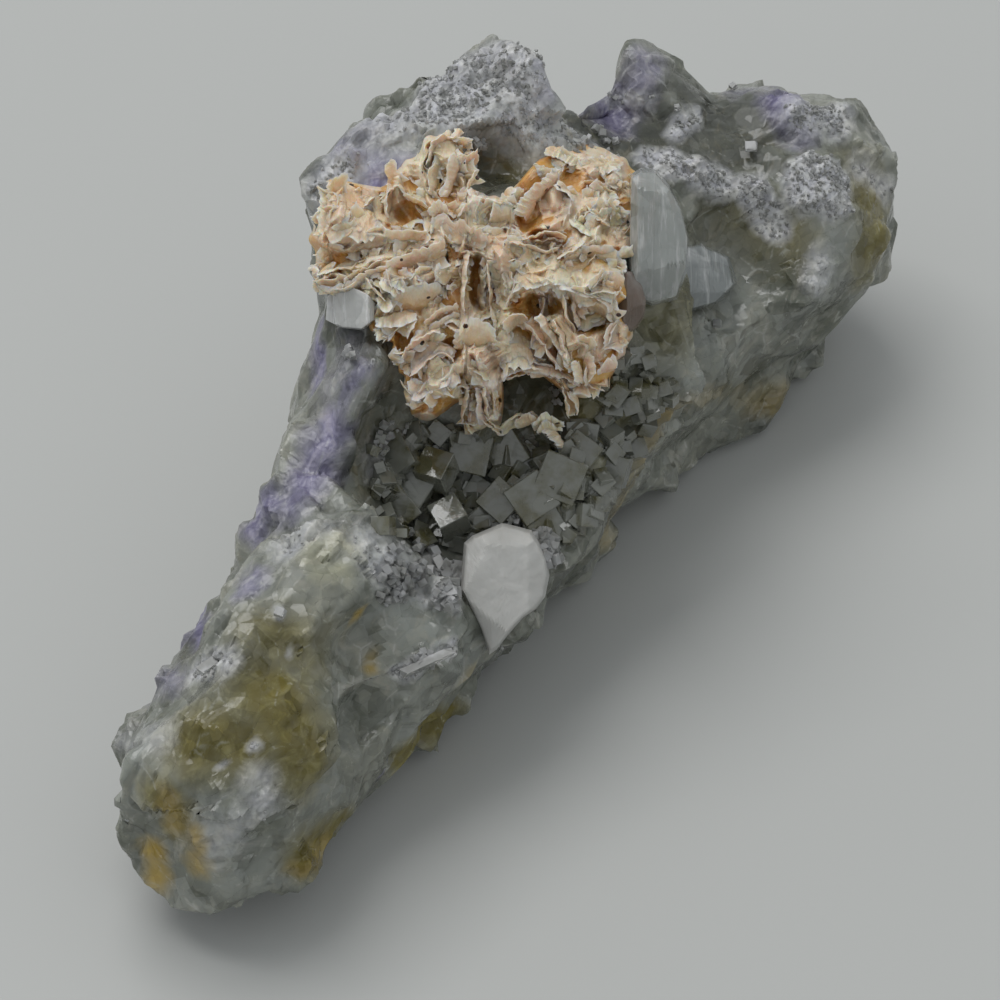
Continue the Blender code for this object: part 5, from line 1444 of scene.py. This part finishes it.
slab("smoky_lens", "smoky_crystal",
     [(622, 272), (632, 272), (641, 284), (646, 300), (643, 316), (634, 329), (624, 331), (616, 316),
      (613, 296), (616, 280)], (630, 300), 3.6, 0.5, 0.06,
     clearFinish("smoky_glass", (0.28, 0.22, 0.18), 0.04, ((0.62, 0.50, 0.42), 120.0), 0.3, 0.2, 0.5),
     raised=0.8,
     facets=[(627, 0, -0.12, 0), (636, 290, 0.12, -0.05), (630, 310, 0.04, 0.09)])
slab("white_lens", "white_crystal",
     [(329, 297), (337, 288), (352, 287), (368, 294), (375, 303), (374, 320), (362, 329), (343, 327),
      (327, 319)], (350, 308), 4.0, 0.06, 0.15,
     clearFinish("white_glass", (0.62, 0.62, 0.60), 0.22, ((0.88, 0.89, 0.87), 40.0), 0.9, 0.4, 0.25),
     raised=0.6,
     facets=[(342, 0, -0.10, 0.01), (352, 298, 0.01, -0.14), (362, 308, 0.09, 0.02), (350, 318, 0.0, 0.12)])
hollowCubes()


# White sugary crystals: on the stone where its sugar mark is high, and in thick groups round the calcite
druseShape = {
    "seed": 12,
    "count": 2200,
    "size": (0.07, 0.20),
    "uneven": (0.7, 1.3),
    "groups": [       # x, y, radius in pixels, how many, size in mm, lift in mm
        (538, 545, 16, 60, 0.9, 1.6), (549, 556, 9, 26, 0.8, 1.4), (452, 575, 12, 34, 0.8, 1.0),
        (447, 597, 12, 40, 0.7, 1.2), (410, 560, 28, 46, 0.7, 0.3), (395, 590, 18, 26, 0.6, 0.3),
        (505, 524, 14, 30, 0.5, 0.8), (596, 150, 24, 40, 0.5, 0.2), (350, 352, 5, 16, 0.5, 0.4),
        (480, 145, 6, 14, 0.5, 1.2), (471, 166, 5, 12, 0.5, 1.2), (425, 660, 10, 24, 0.6, 0.4),
        (395, 440, 20, 30, 0.5, 0.2), (560, 395, 16, 20, 0.4, 0.4),
    ],
    "plates": [       # bright cleaved plates: x, y, length and width in mm, photo direction of the length
        (427, 662, 5.4, 0.9, 55, -25), (478, 145, 1.0, 0.5, 4, 12), (470, 165, 0.9, 0.6, 10, 6),
        (447, 592, 2.0, 1.1, 20, -4), (440, 563, 1.7, 0.9, 8, 14), (388, 600, 0.6, 0.6, 1, 0),
        (598, 450, 0.5, 0.4, 1, 1), (617, 453, 1.0, 0.3, 6, -14), (391, 320, 1.7, 0.3, 12, -2),
        (280, 612, 1.0, 0.9, 3, 1), (210, 664, 2.6, 1.0, 30, -20), (733, 86, 0.7, 0.7, 1, 1),
        (677, 107, 0.6, 0.5, 1, 0), (717, 323, 0.9, 0.8, 1, 0), (751, 146, 1.3, 1.1, 1, 0),
    ],
    "plateFacing": (-0.28, -0.04, 0.96),
}


druseCrystal = hullShape([(-1, -1, -0.9), (1, -0.9, -1), (1, 1, -0.8), (-0.9, 1, -1), (-0.8, -1, 1),
                         (1, -1, 0.8), (0.7, 0.8, 1), (-1, 0.9, 0.7)])


def druse():
    # Grains at seeded places weighted by the sugar mark, thick groups and bright plates, of one crystal shape
    draw = np.random.RandomState(druseShape["seed"])
    grid, sugar = stoneFine.reshape(-1, 3), stoneMarks["sugar"].ravel()
    cells = np.linalg.norm(gridSlopes(stoneFine), axis=-1).ravel()
    weight = np.clip(sugar - 0.5, 0, 1)**1.5 * cells
    chosen = draw.choice(len(grid), druseShape["count"], replace=False, p=weight / weight.sum())
    start = grid[chosen]
    for axis in (0, 1):
        step = np.roll(stoneFine, 1, axis=axis).reshape(-1, 3)[chosen] - grid[chosen]
        start = start + (draw.rand(len(chosen), 1) - 0.5) * step
    places = [start]
    sizes = [draw.uniform(*druseShape["size"], (len(chosen), 1))
             * draw.uniform(*druseShape["uneven"], (len(chosen), 3)) * mm]
    for x, y, radius, count, size, lift in druseShape["groups"]:
        angle, reach = draw.uniform(0, 2 * math.pi, count), np.sqrt(draw.rand(count)) * radius
        xs, ys = x + reach * np.cos(angle), y + reach * np.sin(angle)
        places.append(np.array([onStone(px, py, lift * draw.uniform(0.1, 1.0)) for px, py in zip(xs, ys)]))
        sizes.append(size * 0.5 * draw.uniform(0.6, 1.3, (count, 1))
                     * draw.uniform(*druseShape["uneven"], (count, 3)) * mm)
    places, sizes = np.concatenate(places), np.concatenate(sizes)
    keep = places[:, 2] > 0.001
    places, sizes = places[keep], sizes[keep]
    turns = turned(draw, len(places))
    plates = druseShape["plates"]
    places = np.concatenate([places, [onStone(x, y, 0.7) for x, y, *rest in plates]])
    halves = [(0.5 * long * mm, 0.5 * wide * mm, 0.3 * mm) for x, y, long, wide, *rest in plates]
    sizes = np.concatenate([sizes, halves])
    turns = np.concatenate([turns, [facing(druseShape["plateFacing"], dx, dy) for *rest, dx, dy in plates]])
    points, faces = manyShapes(druseCrystal, places, turns, sizes)
    putPiece("sugar_druse", points, faces, druseFinish())


def druseFinish():
    # Milky white to grey grains that let some light through
    def build(w):
        place = w.place()
        cloud = w.noise(place, 500, 3, 0.5)
        base = w.blend(cloud.step(0.35, 0.65), (0.56, 0.56, 0.56), (0.36, 0.36, 0.34))
        return {"Base Color": base, "Roughness": 0.22 + cloud * 0.2}
    return newFinish("druse_white", build, Subsurface_Weight=0.4, Subsurface_Radius=(1.0, 1.0, 1.0),
                     Subsurface_Scale=0.0006, IOR=1.45, Transmission_Weight=0.5)


druse()


# The floor, the lights and the camera
stageLook = {
    "floor": (0.415, 0.418, 0.402),
    "half": 3.0,                      # m, half the floor's side
    "sky": (0.93, 0.97, 1.0),
    "skyStrength": 0.64,
    "window": (0.10, 0.80, 1.70),     # place of the large soft window light
    "windowSize": (1.40, 1.10),
    "windowPower": 18.5,
}


def areaLight(name, place, size, power, aim=(0.0, 0.0, 0.02)):
    # A rectangular light at a place, turned towards the specimen
    lamp = bpy.data.lights.new(name, "AREA")
    lamp.shape = "RECTANGLE"
    lamp.size, lamp.size_y = size
    lamp.energy = power
    made = bpy.data.objects.new(name, lamp)
    bpy.context.scene.collection.objects.link(made)
    made.location = place
    made.rotation_euler = (Vector(aim) - Vector(place)).to_track_quat("-Z", "Y").to_euler()


def makeStage():
    # A pale floor, an even sky and one large soft window
    side = stageLook["half"]
    mesh = bpy.data.meshes.new("pale_floor")
    corners = [(-side, -side, 0), (side, -side, 0), (side, side, 0), (-side, side, 0)]
    mesh.from_pydata(corners, [], [(0, 1, 2, 3)])

    def build(w):
        place = w.place()
        soft = w.noise(place, 9, 2)
        darker = tuple(0.94 * c for c in stageLook["floor"])
        return {"Base Color": w.blend(soft.step(0.3, 0.7) * 0.3, stageLook["floor"], darker)}

    mesh.materials.append(newFinish("pale_floor", build, Roughness=0.55))
    floor = bpy.data.objects.new("pale_floor", mesh)
    bpy.context.scene.collection.objects.link(floor)
    world = bpy.data.worlds.new("studio")
    bpy.context.scene.world = world
    world.use_nodes = True
    background = world.node_tree.nodes["Background"]
    background.inputs["Color"].default_value = (*stageLook["sky"], 1)
    background.inputs["Strength"].default_value = stageLook["skyStrength"]
    areaLight("window", stageLook["window"], stageLook["windowSize"], stageLook["windowPower"])
    bpy.context.scene.view_settings.view_transform = "Standard"


def makeCamera():
    # Lens = sensor * reach / (1000 pixels * what a pixel covers)
    data = bpy.data.cameras.new("camera")
    camera = bpy.data.objects.new("camera", data)
    bpy.context.scene.collection.objects.link(camera)
    data.sensor_width = cameraLook["sensor"]
    data.lens = cameraLook["sensor"] * cameraLook["reach"] / (1000 * cameraLook["pixel"])
    data.clip_start = 0.01
    camera.location = eye
    camera.rotation_euler = Vector(forward).to_track_quat("-Z", "Y").to_euler()
    bpy.context.scene.camera = camera


makeStage()
makeCamera()
print("stage and camera ready")
